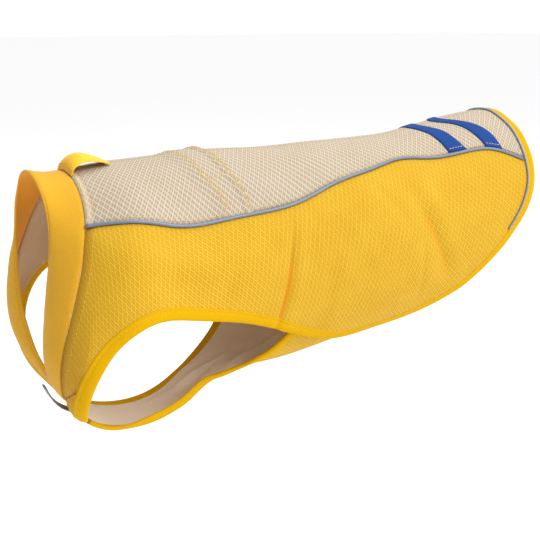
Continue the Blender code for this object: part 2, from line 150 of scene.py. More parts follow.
Section = namedtuple("Section", "along top_x top_z bottom_x bottom_z half_width egg bow")
SECTIONS = [
    Section(0, -148, 0.7, -139, -186.3, 38.5, 0.65, -10),
    Section(23, -137.3, -2.3, -138.8, -186.9, 53, 0.29, -18.5),
    Section(46, -119, -2.8, -136.5, -192.2, 75, 0.05, -20),
    Section(68, -91.5, -0.3, -118, -216.8, 100, 0.00, -15),
    Section(92, -63, 1.2, -77, -231.0, 99, 0.00, -12),
    Section(150, 0, 3.0, -11, -213.3, 86, 0.00, -4),
    Section(215, 66, 1.2, 60, -208.3, 80, 0.05, 0),
    Section(290, 140, 1.2, 138, -202.3, 79, 0.05, 0),
    Section(380, 231, 4.7, 233, -194.3, 74, 0.00, 0),
    Section(470, 320, 17.2, 324, -178.3, 71, 0.00, 0),
    Section(505, 355, 18.2, 359, -166.3, 68, 0.00, 0),
]

Pipe = namedtuple("Pipe", "along around")
PIPING_LINE = [
    Pipe(46, 48.5),
    Pipe(69, 45),
    Pipe(98, 49.5),
    Pipe(136, 53),
    Pipe(180, 53.4),
    Pipe(209, 51),
    Pipe(255, 42.7),
    Pipe(304, 37.3),
    Pipe(343, 34),
    Pipe(376, 38),
    Pipe(426, 42),
    Pipe(448, 44.5),
    Pipe(481, 54),
    Pipe(500, 61),
]

# The free edge of the left side, from the breastbone round the leg hole and up to the spine.
# piping is the place on the piping line that each row of the side panel starts from.
Edge = namedtuple("Edge", "along around piping")
FREE_EDGE = [
    Edge(63.5, 165, 46),
    Edge(62.5, 150, 48),
    Edge(62.0, 133, 50),
    Edge(62.6, 117.5, 54),
    Edge(64.5, 106, 61),
    Edge(69, 95, 68),
    Edge(81.5, 86, 81),
    Edge(107, 88, 107),
    Edge(155, 102.5, 155),
    Edge(207, 119, 207),
    Edge(272, 138, 272),
    Edge(335, 142.5, 335),
    Edge(405, 133, 402),
    Edge(441, 120, 434),
    Edge(472, 105, 459),
    Edge(497, 88.5, 482),
    Edge(507, 72, 493),
    Edge(508.3, 60, 497),
    Edge(507, 38, 497),
    Edge(504.5, 18, 497),
    Edge(505, 0, 497),
]
CHEST_SEAM_END = 3
PIPING_END = 17

# The left half of the seam between side panel and belly panel, from the collar.
Seam = namedtuple("Seam", "along around")
CHEST_SEAM_OF_SIDE = [Seam(COLLAR_SEAM, 150), Seam(51.5, 129)]
CHEST_SEAM_OF_BELLY = [Seam(COLLAR_SEAM, 152.5), Seam(52.0, 129.5), Seam(56.4, 119.5)]

# The free edge of the belly panel, left side, from the breastbone to the rear.
BELLY_EDGE = [
    Seam(66.5, 161.5),
    Seam(80, 163),
    Seam(110, 164),
    Seam(138, 163),
    Seam(150, 161.5),
    Seam(162, 157.5),
    Seam(175, 151),
    Seam(188, 142.5),
    Seam(200, 132),
    Seam(210, 121),
    Seam(228, 108),
    Seam(255, 100),
    Seam(BELLY_REAR_EDGE, 98),
]

# The two stitched lines of the leash portal and the edges of the two blue tapes.
Line = namedtuple(
    "Line", "around portal_seam portal_edge tape1_front tape1_rear tape2_front tape2_rear"
)
CROSS_LINES = [
    Line(0, 127, 150.5, 386.5, 400, 417, 430),
    Line(15, 131, 153.5, 392.5, 409, 430, 442.5),
    Line(30, 135.5, 157, 398, 417, 441.5, 460),
    Line(42, 142, 162, 401, 423.5, 447, 466),
    Line(53, 145, 164, 402.5, 428.5, 450, 470),
]

# Folds are soft troughs (negative depth) and ridges; heading is degrees from +along to the belly.
Fold = namedtuple("Fold", "side along around heading half_length half_width depth")
FOLDS = [
    Fold(1, 57, 120, 90, 50, 7.5, 7.0),
    Fold(-1, 57, 120, 90, 50, 7.5, 7.0),
    Fold(1, 193.5, 88, 99.5, 42, 5.0, -1.2),
    Fold(1, 202, 90, 99.5, 46, 7, 1.3),
    Fold(1, 238, 92, 97, 44, 9, -0.9),
    Fold(1, 92, 66, 22, 52, 12, 2.2),
    Fold(1, 105, 74, 26, 42, 10, -2.0),
    Fold(1, 364, 86, 61, 60, 10, -2.0),
    Fold(1, 376, 84, 61, 56, 10, 1.0),
    Fold(-1, 228, 90, 84, 50, 8, -2.6),
    Fold(-1, 240, 94, 86, 46, 10, 1.6),
    Fold(-1, 96, 68, 18, 50, 12, 2.0),
    Fold(-1, 110, 76, 24, 40, 10, -1.8),
    Fold(-1, 352, 80, 70, 56, 12, -1.6),
    Fold(1, 170, 168, 30, 34, 8, -1.8),
    Fold(1, 150, 178, 36, 34, 9, 1.4),
]
MM_PER_DEGREE = 1.6

# Creases and soft ridges finer than the solids hold, on the same cloth.
CREASES = [
    Fold(1, 193.0, 92, 99.5, 40, 1.4, -1.7),
    Fold(1, 262, 78, 30, 22, 12, -1.5),
    Fold(1, 281, 84, 40, 24, 9, 0.9),
    Fold(1, 366, 88, 62, 42, 3.0, -0.8),
    Fold(1, 312, 60, 50, 30, 5.0, -0.8),
    Fold(1, 350, 104, 84, 30, 4.0, -0.9),
    Fold(1, 118, 97, 12, 14, 4.5, -1.0),
    Fold(-1, 231, 93, 84, 46, 2.4, -1.2),
    Fold(-1, 300, 70, 62, 34, 5.0, -0.9),
    Fold(-1, 124, 98, 14, 15, 4.5, -0.9),
]

# Painted shade along creases of the mesh: a deeper, warmer line; depth is the share of the shade colour.
CREASE_SHADE_LINES = [
    Fold(1, 193.0, 97, 99.5, 33, 1.4, 0.75),
    Fold(1, 367, 90, 62, 38, 2.2, 0.4),
    Fold(-1, 231, 97, 84, 33, 1.8, 0.6),
]

# Creases of the belly's lining, seen through the left leg hole; positive stands in to the body.
LINING_CREASES = [
    Fold(1, 209, 179, 37, 46, 5.0, 7.0),
    Fold(1, 194, 188, 37, 44, 4.5, 3.6),
    Fold(1, 163, 184, 4, 28, 4.0, 5.0),
    Fold(1, 166, 193, 4, 24, 3.5, 2.6),
    Fold(1, 128, 184, -16, 20, 4.0, 2.4),
]

# Low uneven waves all over the cloth: turns round the girth, mm along for a radian, height in mm.
Wave = namedtuple("Wave", "turns reach height")
WAVES = [
    Wave(5, 19, 0.22),
    Wave(-8, 13, 0.16),
    Wave(13, 27, 0.12),
    Wave(-17, 9, 0.07),
]

# The tab over the collar seam: a bowed strap, x and z of its middle.
Strap = namedtuple("Strap", "x z half_width droop")
NECK_LOOP = [
    Strap(-119.5, -1.9, 17, 2.3),
    Strap(-117, 5.0, 17, 4.0),
    Strap(-111.5, 9.6, 16.5, 5.0),
    Strap(-104, 10.3, 15, 4.5),
    Strap(-94, 7.0, 12, 2.5),
    Strap(-84, 2.1, 9, 0.6),
]

# The small tab at the point of the V, from above the breastbone down.
CHEST_TAB = [
    Strap(-149.2, -180, 5.5, 0.4),
    Strap(-146.0, -188.5, 7, 0.6),
    Strap(-140.2, -197.5, 7, 0.6),
    Strap(-134.0, -203.2, 6.5, 0.5),
    Strap(-127.6, -207.6, 6, 0.4),
]


def spline(knots, values, places):
    """Natural cubic curve through values at knots, one column or several."""
    knots = np.asarray(knots, float)
    values = np.asarray(values, float)
    steps = np.diff(knots)
    count = len(knots)
    system = np.eye(count)
    right = np.zeros_like(values)
    slopes = np.diff(values, axis=0) / steps.reshape((-1,) + (1,) * (values.ndim - 1))
    for i in range(1, count - 1):
        system[i, i - 1] = steps[i - 1]
        system[i, i] = 2 * (steps[i - 1] + steps[i])
        system[i, i + 1] = steps[i]
        right[i] = 6 * (slopes[i] - slopes[i - 1])
    bends = np.linalg.solve(system, right)
    places = np.asarray(places, float)
    low = np.clip(np.searchsorted(knots, places) - 1, 0, count - 2)
    step = steps[low]
    after = (places - knots[low]) / step
    if values.ndim > 1:
        after = after[..., None]
        step = step[..., None]
    before = 1 - after
    bulge = (before**3 - before) * bends[low] + (after**3 - after) * bends[low + 1]
    return before * values[low] + after * values[low + 1] + bulge * step**2 / 6


def column(table, name):
    return np.array([getattr(row, name) for row in table], float)


SECTION_PLACES = column(SECTIONS, "along")
SECTION_SHAPES = np.array([row[1:] for row in SECTIONS], float)


def form(along, around):
    """Points of the smooth form, mm."""
    along, around = np.broadcast_arrays(np.asarray(along, float), np.asarray(around, float))
    shapes = spline(SECTION_PLACES, SECTION_SHAPES, along)
    top_x, top_z, bottom_x, bottom_z, half_width, egg, bow = np.moveaxis(shapes, -1, 0)
    angle = np.radians(around)
    up = np.cos(angle)
    out = np.sin(angle)
    x = (top_x + bottom_x) / 2 + (top_x - bottom_x) / 2 * up + bow * out**2 * (1 - up)
    y = -half_width * out * (1 + egg * up)
    z = (top_z + bottom_z) / 2 + (top_z - bottom_z) / 2 * up
    return np.stack([x, y, z], -1)


def directions(along, around, step=0.5):
    """Change of the form's points per mm along and per degree around."""
    per_along = form(along + step, around) - form(along - step, around)
    per_around = form(along, around + step) - form(along, around - step)
    return per_along / (2 * step), per_around / (2 * step)


def unit(vectors):
    return vectors / np.linalg.norm(vectors, axis=-1, keepdims=True)


def outward(along, around):
    per_along, per_around = directions(along, around)
    return unit(np.cross(per_around, per_along))


def sum_of_folds(folds, along, around):
    """Height of these troughs and ridges at each place, mm out."""
    height = np.zeros_like(along)
    for fold in folds:
        ahead = along - fold.along
        down = ((around * fold.side - fold.around + 180) % 360 - 180) * MM_PER_DEGREE
        heading = np.radians(fold.heading)
        lengthwise = (ahead * np.cos(heading) + down * np.sin(heading)) / fold.half_length
        crosswise = (down * np.cos(heading) - ahead * np.sin(heading)) / fold.half_width
        height += fold.depth * np.exp(-(lengthwise**4) - crosswise**2)
    return height


def fold_height(along, around):
    """Sum of the folds, creases and waves at each place, mm out."""
    height = sum_of_folds(FOLDS + CREASES, along, around)
    for wave in WAVES:
        height += wave.height * np.sin(np.radians(around) * wave.turns + along / wave.reach)
    return height


def cloth(along, around, out):
    """Points of the folded cloth, moved out by this many mm."""
    along, around = np.broadcast_arrays(np.asarray(along, float), np.asarray(around, float))
    lift = fold_height(along, around) + out
    return form(along, around) + outward(along, around) * lift[..., None]


def step_aside(along, around, distance):
    """A line on the form moved sideways by this many mm, to the spine's side if it runs to the tail."""
    points = form(along, around)
    tangents = unit(np.gradient(points, axis=0))
    sideways = np.cross(outward(along, around), tangents) * distance
    per_along, per_around = directions(along, around)
    aa = (per_along * per_along).sum(-1)
    ab = (per_along * per_around).sum(-1)
    bb = (per_around * per_around).sum(-1)
    a = (per_along * sideways).sum(-1)
    b = (per_around * sideways).sum(-1)
    span = aa * bb - ab * ab
    return along + (a * bb - b * ab) / span, around + (b * aa - a * ab) / span


def piping_around(along):
    return spline(column(PIPING_LINE, "along"), column(PIPING_LINE, "around"), along)


def cross_line(name, around):
    """Place down the spine of a line over the back, the same on both sides."""
    angles = column(CROSS_LINES, "around")
    places = column(CROSS_LINES, name)
    angles = np.concatenate([-angles[:0:-1], angles])
    places = np.concatenate([places[:0:-1], places])
    return spline(angles, places, around)


def free_edge():
    """Even samples of the left free edge: along, around and the matching place on the piping."""
    mirrored = [Edge(row.along, -row.around, row.piping) for row in FREE_EDGE[-2::-1]]
    rows = np.array(FREE_EDGE + mirrored, float)
    gaps = np.linalg.norm(np.diff(form(rows[:, 0], rows[:, 1]), axis=0), axis=1)
    places = np.concatenate([[0], np.cumsum(gaps)])
    seam_end = places[CHEST_SEAM_END]
    piping_end = places[PIPING_END]
    spine = places[len(FREE_EDGE) - 1]
    stretches = [
        np.linspace(0, seam_end, CHEST_STEPS, endpoint=False),
        np.linspace(seam_end, piping_end, EDGE_STEPS, endpoint=False),
        np.linspace(piping_end, spine, REAR_HEM_STEPS),
    ]
    samples = spline(places, rows, np.concatenate(stretches))
    return samples, CHEST_STEPS, CHEST_STEPS + EDGE_STEPS


def between(start, end, count):
    """Grid of values from each start to each end, count columns."""
    share = np.linspace(0, 1, count)
    return np.asarray(start)[:, None] * (1 - share) + np.asarray(end)[:, None] * share


def degrees_of(along, around, distance):
    """Degrees around that cover this many mm."""
    per_around = directions(along, around)[1]
    return distance / np.linalg.norm(per_around, axis=-1)

def side_rows():
    """The left side panel's rows: piping end and free end of each, along and around."""
    samples, first, last = free_edge()
    inset_along, inset_around = step_aside(samples[:, 0], samples[:, 1], BINDING_WIDTH - PANEL_TUCK)
    chest = np.array(CHEST_SEAM_OF_SIDE, float)
    piping = np.concatenate([chest[:, 0], samples[first : last + 1, 2]])
    low_along = np.concatenate([chest[:, 0], inset_along[first : last + 1]])
    low_around = np.concatenate([chest[:, 1], inset_around[first : last + 1]])
    top_around = piping_around(piping)
    top_around = top_around + degrees_of(piping, top_around, PIPING_RADIUS - PIPING_TUCK)
    return piping, top_around, low_along, low_around

def back_grid(front_along, rear_along, rear_share, rows):
    """Rows over the back between two lines; the columns are shares of the piping's angle."""
    share = np.linspace(0, 1, rows)[:, None]
    front_share = np.linspace(-1, 1, len(rear_share))
    along = front_along * (1 - share) + rear_along * share
    part = front_share * (1 - share) + rear_share * share
    edge = piping_around(along)
    edge = edge - degrees_of(along, edge, PIPING_RADIUS - PIPING_TUCK)
    return along, part * edge


def portal_lines(name):
    around = np.linspace(-1, 1, 2 * BACK_COLUMNS - 1) * PORTAL_REACH
    return cross_line(name, around)


def portal_height(along, around):
    """How far the front back panel stands off where it covers the portal."""
    seam = cross_line("portal_seam", around)
    share = np.clip((along - seam + PORTAL_RAMP) / PORTAL_RAMP, 0, 1)
    return PORTAL_RISE * share * share * (3 - 2 * share)


def rear_hem_columns():
    """The back panel's rear edge, right to left: along, and share of the piping's angle."""
    samples, first, last = free_edge()
    inset_along, inset_around = step_aside(samples[:, 0], samples[:, 1], BINDING_WIDTH - PANEL_TUCK)
    along = inset_along[last:][::-1]
    around = inset_around[last:][::-1]
    along = np.concatenate([along[:0:-1], along])
    around = np.concatenate([-around[:0:-1], around])
    edge = piping_around(along)
    edge = edge - degrees_of(along, edge, PIPING_RADIUS - PIPING_TUCK)
    return along, np.clip(around / edge, -1, 1)


def belly_edge():
    """Even samples of the belly panel's left free edge."""
    rows = np.array(BELLY_EDGE, float)
    gaps = np.linalg.norm(np.diff(form(rows[:, 0], rows[:, 1]), axis=0), axis=1)
    places = np.concatenate([[0], np.cumsum(gaps)])
    return spline(places, rows, np.linspace(0, places[-1], BELLY_EDGE_STEPS))


def belly_drop(along):
    """How far the belly panel lies inside the form, so that it passes under the side hems."""
    share = np.clip((along - BELLY_DROP_START) / (BELLY_DROP_END - BELLY_DROP_START), 0, 1)
    return -BELLY_DROP * share * share * (3 - 2 * share)


def belly_rows():
    """The belly panel's rows from the collar to its rear: centre and left edge."""
    samples, first, last = free_edge()
    inset_along, inset_around = step_aside(samples[:, 0], samples[:, 1], BINDING_WIDTH - PANEL_TUCK)
    chest = np.array(CHEST_SEAM_OF_BELLY, float)
    edge = belly_edge()
    side_along, side_around = step_aside(edge[:, 0], edge[:, 1], PANEL_TUCK - BINDING_WIDTH)
    keep = side_along < BELLY_REAR_EDGE - BINDING_WIDTH + PANEL_TUCK
    side_along = np.append(side_along[keep], BELLY_REAR_EDGE - BINDING_WIDTH + PANEL_TUCK)
    side_around = np.append(side_around[keep], side_around[-1])
    edge_along = np.concatenate([chest[:, 0], inset_along[first - 1 :: -1], side_along])
    edge_around = np.concatenate([chest[:, 1], inset_around[first - 1 :: -1], side_around])
    front = len(chest) + first
    centre = edge_along.copy()
    centre[: front + 1] = np.linspace(edge_along[0], edge_along[front], front + 1)
    return centre, edge_along, edge_around


def tape_edge(name):
    """One edge of a blue tape over the rump: along and around from piping to piping."""
    reach = 0.0
    for _ in range(REACH_ROUNDS):
        place = cross_line(name, reach)
        reach = piping_around(place)
    reach = reach - degrees_of(place, reach, PIPING_RADIUS + TAPE_END_GAP)
    around = np.linspace(-1, 1, TAPE_COLUMNS) * reach
    return cross_line(name, around), around



def running_length(points):
    """Length of a line of points up to each of them."""
    steps = np.linalg.norm(np.diff(points, axis=0), axis=1)
    return np.concatenate([[0], np.cumsum(steps)])


def flat_places(along, around, grain_line, front_turn=0.0):
    """Places on the flat cloth, mm: the way to the tail as the flank has it, and the girth from the grain line."""
    flank = form(np.linspace(GRAIN_START, GRAIN_END, GRAIN_SAMPLES), 90.0)
    way = np.interp(form(along, around)[..., 0], flank[:, 0], running_length(flank))
    way = way - GRAIN_EASE * np.maximum(way - GRAIN_EASE_START, 0) ** 2
    girth = np.zeros(way.shape)
    for step in range(GRAIN_STEPS):
        share = (step + 0.5) / GRAIN_STEPS
        place = grain_line + (around - grain_line) * share
        girth += np.linalg.norm(directions(along, place)[1], axis=-1) / GRAIN_STEPS
    girth = girth * (around - grain_line)
    before = np.maximum(FRONT_TURN_END - way, 0) ** 2 * front_turn
    return np.stack([way - FRONT_TURN_WAY * before, girth - FRONT_TURN_GIRTH * np.sign(around) * before], -1)


def corners(rows, columns):
    """Row and column of the four corners of each face of a grid."""
    row, column_ = np.mgrid[0 : rows - 1, 0 : columns - 1]
    row_corners = np.stack([row, row, row + 1, row + 1], -1).reshape(-1, 4)
    column_corners = np.stack([column_, column_ + 1, column_ + 1, column_], -1).reshape(-1, 4)
    return row_corners, column_corners


def add_piece(name, points, faces, flats, smooth, material, marks=()):
    """A mesh object from points in mm, with the flat cloth's places as its UV map and marks on its points."""
    mesh = bpy.data.meshes.new(name)
    mesh.from_pydata((points * MM).tolist(), [], faces)
    mesh.uv_layers.new(name=FLAT_MAP).data.foreach_set("uv", np.asarray(flats, float).ravel())
    mesh.polygons.foreach_set("use_smooth", smooth)
    for mark, values in marks:
        mesh.attributes.new(mark, "FLOAT", "POINT").data.foreach_set("value", values)
    mesh.materials.append(material)
    shell = bmesh.new()
    shell.from_mesh(mesh)
    bmesh.ops.recalc_face_normals(shell, faces=shell.faces)
    shell.to_mesh(mesh)
    shell.free()
    made = bpy.data.objects.new(name, mesh)
    bpy.context.scene.collection.objects.link(made)
    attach(made, "root")
    return made


def wall(name, outer, inner, flat, material, marks=()):
    """A closed sheet between two grids of points (rows x columns x 3, mm)."""
    rows, columns = outer.shape[:2]
    count = rows * columns
    index = np.arange(count).reshape(rows, columns)
    row, column_ = corners(rows, columns)
    sheet = index[row, column_]
    rim = np.concatenate([index[0, :-1], index[:-1, -1], index[-1, :0:-1], index[:0:-1, 0]])
    after = np.roll(rim, -1)
    edge = np.stack([rim, after, after + count, rim + count], -1)
    faces = np.concatenate([sheet, sheet + count, edge])
    places = np.concatenate([flat.reshape(-1, 2)] * 2)
    points = np.concatenate([outer.reshape(-1, 3), inner.reshape(-1, 3)])
    smooth = np.ones(len(faces), bool)
    smooth[2 * len(sheet) :] = False
    both_faces = [(mark, np.concatenate([values.ravel()] * 2)) for mark, values in marks]
    return add_piece(name, points, faces.tolist(), places[faces], smooth, material, both_faces)


def loft(name, sections, material, ring=False, marks=()):
    """A band or cord through closed sections of points (rows x points x 3, mm)."""
    count, sides = sections.shape[:2]
    wide = np.concatenate([sections, sections[:, :1]], 1)
    if ring:
        wide = np.concatenate([wide, wide[:1]])
    down = running_length(wide.mean(1))
    across = running_length(wide[len(wide) // 2])
    row, column_ = corners(*wide.shape[:2])
    faces = ((row % count) * sides + column_ % sides).tolist()
    flats = [np.stack([down[row], across[column_]], -1).reshape(-1, 2)]
    if not ring:
        for end in (0, count - 1):
            faces.append((end * sides + np.arange(sides)).tolist())
            flats.append(np.stack([np.full(sides, down[end]), across[:-1]], -1))
    smooth = np.ones(len(faces), bool)
    if not ring:
        smooth[-2:] = False
    points = sections.reshape(-1, 3)
    return add_piece(name, points, faces, np.concatenate(flats), smooth, material, marks)


def cloth_wall(name, along, around, out, inside, material, grain_line, marks=(), front_turn=0.0):
    flat = flat_places(along, around, grain_line, front_turn)
    return wall(name, cloth(along, around, out), cloth(along, around, inside), flat, material, marks)


def cord_sections(points, normals, radius):
    """Round sections about a line of points."""
    tangents = unit(np.gradient(points, axis=0))
    sides = unit(np.cross(tangents, normals))
    ups = np.cross(sides, tangents)
    turn = np.linspace(0, 2 * np.pi, PIPING_SIDES, endpoint=False)[None, :, None]
    ring = np.cos(turn) * sides[:, None] + np.sin(turn) * ups[:, None]
    return points[:, None] + ring * radius


# The felt collar's section, from the seam over the outside to the rounded front edge and back.
Rim = namedtuple("Rim", "along out")
COLLAR_SECTION = [
    Rim(46.0, -1.2),
    Rim(45.6, -0.35),
    Rim(44.6, 0.2),
    Rim(42.5, 0.35),
    Rim(36.0, 0.3),
    Rim(28.0, 0.25),
    Rim(20.0, 0.3),
    Rim(12.0, 0.35),
    Rim(7.5, 0.35),
    Rim(5.6, 0.25),
    Rim(4.6, -0.1),
    Rim(4.0, -0.25),
    Rim(3.4, -0.05),
    Rim(2.6, 0.25),
    Rim(1.5, 0.2),
    Rim(0.6, -0.15),
    Rim(0.1, -0.7),
    Rim(0.0, -1.2),
    Rim(0.2, -1.7),
    Rim(0.9, -2.15),
    Rim(3.0, -2.3),
    Rim(12.0, -2.2),
    Rim(28.0, -2.15),
    Rim(40.0, -2.15),
    Rim(45.6, -2.1),
]
COLLAR_STITCH = 4.0
COLLAR_INNER_FACE = -1.5

# A folded binding's section: "across" is mm in from the free edge.
Tuck = namedtuple("Tuck", "across out")
BINDING_SECTION = [
    Tuck(10.5, -0.9),
    Tuck(10.5, 0.2),
    Tuck(10.1, 0.6),
    Tuck(9.4, 0.75),
    Tuck(8.6, 0.6),
    Tuck(8.0, 0.35),
    Tuck(7.4, 0.6),
    Tuck(6.2, 0.9),
    Tuck(4.0, 1.05),
    Tuck(2.2, 0.9),
    Tuck(1.0, 0.45),
    Tuck(0.25, -0.3),
    Tuck(0.0, -1.2),
    Tuck(0.25, -2.1),
    Tuck(1.1, -2.8),
    Tuck(3.0, -3.05),
    Tuck(7.0, -3.0),
    Tuck(10.4, -2.9),
]
BINDING_STITCH = 8.0

# A belly binding starts this share of a step under the hem's binding.
BINDING_LAP = 0.9

# Height of a panel behind the collar seam: the seam's dip, the folded edge and its stitched groove.
Ridge = namedtuple("Ridge", "behind out")
COLLAR_RIDGE = [
    Ridge(0.0, -1.3),
    Ridge(0.6, -0.2),
    Ridge(1.2, 0.45),
    Ridge(2.4, 0.6),
    Ridge(3.6, 0.45),
    Ridge(4.4, -0.1),
    Ridge(5.0, -0.4),
    Ridge(5.8, -0.15),
    Ridge(7.2, 0.08),
    Ridge(9.5, 0.0),
]
# The folded hem of the portal's free edge, and the dip of its stitches.
PORTAL_HEM = [
    Ridge(0.0, 0.3),
    Ridge(0.7, 1.15),
    Ridge(2.0, 1.25),
    Ridge(2.8, 0.7),
    Ridge(3.6, 1.1),
    Ridge(5.5, 1.0),
    Ridge(6.5, 0.0),
]
PORTAL_HEM_STITCH = 2.8

RIDGE_STITCH = 5.0
RIDGE_WIDTH = 3.8


def seam_ridge(along):
    behind = along - COLLAR_SEAM
    return np.interp(behind, column(COLLAR_RIDGE, "behind"), column(COLLAR_RIDGE, "out"))


def blur_and_painted_shade(along, around):
    """Where the lattice shows less and the darker blurred colour goes: on the doubled edge, and low at the front of
    the flank, where that darker colour is painted shade of the flank turned away from the light.
    """
    folded = 0.5 * np.clip((RIDGE_WIDTH + 0.8 - (along - COLLAR_SEAM)) / 0.8, 0, 1)
    low_front = 0.8 * np.exp(-(((along - 62) / 20) ** 2) - ((np.abs(around) - 128) / 30) ** 2)
    return np.maximum(folded, low_front)


def make_collar():
    section = np.array(COLLAR_SECTION, float)
    around = np.linspace(-180, 180, COLLAR_COLUMNS, endpoint=False)[:, None]
    sections = cloth(section[None, :, 0], around, section[None, :, 1])
    inner_face_shade = np.tile(section[:, 1] < COLLAR_INNER_FACE, COLLAR_COLUMNS).astype(float)
    return loft("neck_band_felt", sections, FELT, ring=True, marks=[(INNER_SHADE_MARK, inner_face_shade)])


def make_side(side, name):
    """A side panel; its columns run from right to left, as the lining's do."""
    piping, top_around, low_along, low_around = side_rows()
    along = between(piping, low_along, SIDE_COLUMNS)[:, ::side]
    around = between(top_around, low_around, SIDE_COLUMNS)[:, ::side] * side
    out = seam_ridge(along) - piping_dip(along, around)
    # Lattice blur with painted shade low at the front, and painted shade along the creases.
    marks = [(BLUR_AND_SHADE_MARK, blur_and_painted_shade(along, around))]
    marks.append((CREASE_SHADE_MARK, sum_of_folds(CREASE_SHADE_LINES, along, around)))
    sink = SIDE_GRAIN_SINK * (np.clip(along, SIDE_GRAIN_FROM, SIDE_GRAIN_TO) - SIDE_GRAIN_FROM)
    grain = (SIDE_GRAIN + sink) * side
    return cloth_wall(name, along, around, out, out - MESH_THICK, YELLOW_MESH, grain, marks, 1.0)


def piping_dip(along, around):
    """How far the cloth turns down where it meets the piping."""
    away = (np.abs(around) - piping_around(along)) * MM_PER_DEGREE
    return 0.9 * np.exp(-((away / 2.2) ** 2))


def make_back_front():
    count = 2 * BACK_COLUMNS - 1
    collar = np.full(count, COLLAR_SEAM)
    even = np.linspace(-1, 1, count)
    along, around = back_grid(collar, portal_lines("portal_edge"), even, FRONT_BACK_ROWS)
    lift = portal_height(along, around) + seam_ridge(along) - piping_dip(along, around)
    before_edge = cross_line("portal_edge", around) - along
    lift = lift + np.interp(before_edge, column(PORTAL_HEM, "behind"), column(PORTAL_HEM, "out"))
    return cloth_wall(
        "back_panel_front_mesh",
        along,
        around,
        lift,
        lift - MESH_THICK,
        CREAM_MESH,
        back_grain(along, around),
        [(BLUR_AND_SHADE_MARK, blur_and_painted_shade(along, around))],
    )


def back_grain(along, around):
    """The back's grain follows the piping on each side and runs straight across the spine."""
    edge = piping_around(along)
    return np.where(around < 0, -edge, edge)


def make_back_rear():
    rear_along, rear_share = rear_hem_columns()
    along, around = back_grid(portal_lines("portal_seam"), rear_along, rear_share, REAR_BACK_ROWS)
    lift = -piping_dip(along, around)
    grain = back_grain(along, around)
    return cloth_wall("back_panel_rear_mesh", along, around, lift, lift - MESH_THICK, CREAM_MESH, grain)


def make_body_lining():
    """One sheet under both side panels and the back, spine to piping to free edge."""
    piping, top_around, low_along, low_around = side_rows()
    hem = step_aside(*free_edge()[0][:, :2].T, BINDING_WIDTH - PANEL_TUCK)[0][-1]
    squeeze = (hem - COLLAR_SEAM) / (piping[-1] - COLLAR_SEAM)
    spine = COLLAR_SEAM + (piping - COLLAR_SEAM) * squeeze
    back_along = between(spine, piping, LINING_BACK_COLUMNS)
    back_around = between(np.zeros(len(piping)), top_around, LINING_BACK_COLUMNS)
    side_along = between(piping, low_along, LINING_SIDE_COLUMNS)[:, 1:]
    side_around = between(top_around, low_around, LINING_SIDE_COLUMNS)[:, 1:]
    left_along = np.hstack([back_along, side_along])
    left_around = np.hstack([back_around, side_around])
    along = np.hstack([left_along[:, :0:-1], left_along])
    around = np.hstack([-left_around[:, :0:-1], left_around])
    out = -MESH_THICK - LAYER_GAP
    return cloth_wall("body_lining_knit", along, around, out, out - LINING_THICK, BODY_LINING_SHADED, 0.0)


def belly_curl(along, across, most):
    """How far the belly strip's free edge curls up between the front legs."""
    front = np.clip((along - BELLY_CURL_FROM) / (BELLY_CURL_FULL - BELLY_CURL_FROM), 0, 1)
    rear = np.clip((BELLY_CURL_END - along) / (BELLY_CURL_END - BELLY_CURL_START), 0, 1)
    fade = front * front * (3 - 2 * front) * rear * rear * (3 - 2 * rear)
    return -most * np.clip(1 - across / (BINDING_WIDTH - PANEL_TUCK), 0, 1) * fade


def edge_sections(along, around, inward, drop=None, curl=0.0):
    """Sections of a folded binding along a free edge; inward is +1 or -1, the cloth's side."""
    columns = []
    for place in BINDING_SECTION:
        here_along, here_around = step_aside(along, around, place.across * inward)
        height = place.out
        if drop is not None:
            height = place.out + drop(here_along) + belly_curl(here_along, place.across, curl)
        columns.append(cloth(here_along, here_around, height))
    return np.stack(columns, 1)


def make_hem_binding():
    """One tape round the left leg hole, the hem, over the rear and round the right leg hole."""
    samples = free_edge()[0]
    left = edge_sections(samples[:, 0], samples[:, 1], 1)
    right = edge_sections(samples[:, 0], -samples[:, 1], -1)[-2::-1]
    return loft("hem_binding_tape", np.concatenate([left, right]), BINDING)


def make_belly():
    centre, edge_along, edge_around = belly_rows()
    share = np.linspace(-1, 1, BELLY_COLUMNS)
    along = centre[:, None] + (edge_along - centre)[:, None] * np.abs(share)
    around = 180 - (180 - edge_around)[:, None] * share
    drop = belly_drop(along) + seam_ridge(along)
    blur_and_shade = [(BLUR_AND_SHADE_MARK, blur_and_painted_shade(along, around))]
    panel = cloth_wall("belly_panel_mesh", along, around, drop, drop - MESH_THICK, YELLOW_MESH, 180.0, blur_and_shade)
    deep = belly_drop(along) - MESH_THICK - LAYER_GAP - sum_of_folds(LINING_CREASES, along, around)
    lining = cloth_wall("belly_lining_knit", along, around, deep, deep - LINING_THICK, BELLY_LINING, 180.0)
    return panel, lining


def make_belly_bindings():
    edge = belly_edge()
    lap = edge[0] - (edge[1] - edge[0]) * BINDING_LAP
    edge = np.vstack([lap, edge])
    made = []
    for side, name, curl in (
        (1, "belly_binding_left_tape", BELLY_CURL_LEFT),
        (-1, "belly_binding_right_tape", BELLY_CURL_RIGHT),
    ):
        sections = edge_sections(edge[:, 0], edge[:, 1] * side, -side, belly_drop, curl)
        made.append(loft(name, sections, BINDING))
    inner_around = step_aside(edge[:, 0], edge[:, 1], -BINDING_WIDTH)[1][-1]
    around = np.linspace(inner_around, 360 - inner_around, BELLY_COLUMNS)[:, None]
    section = np.array(BINDING_SECTION, float)
    along = BELLY_REAR_EDGE - section[None, :, 0]
    sections = cloth(along, around, belly_drop(along) + section[None, :, 1])
    made.append(loft("belly_binding_rear_tape", sections, BINDING))
    return made


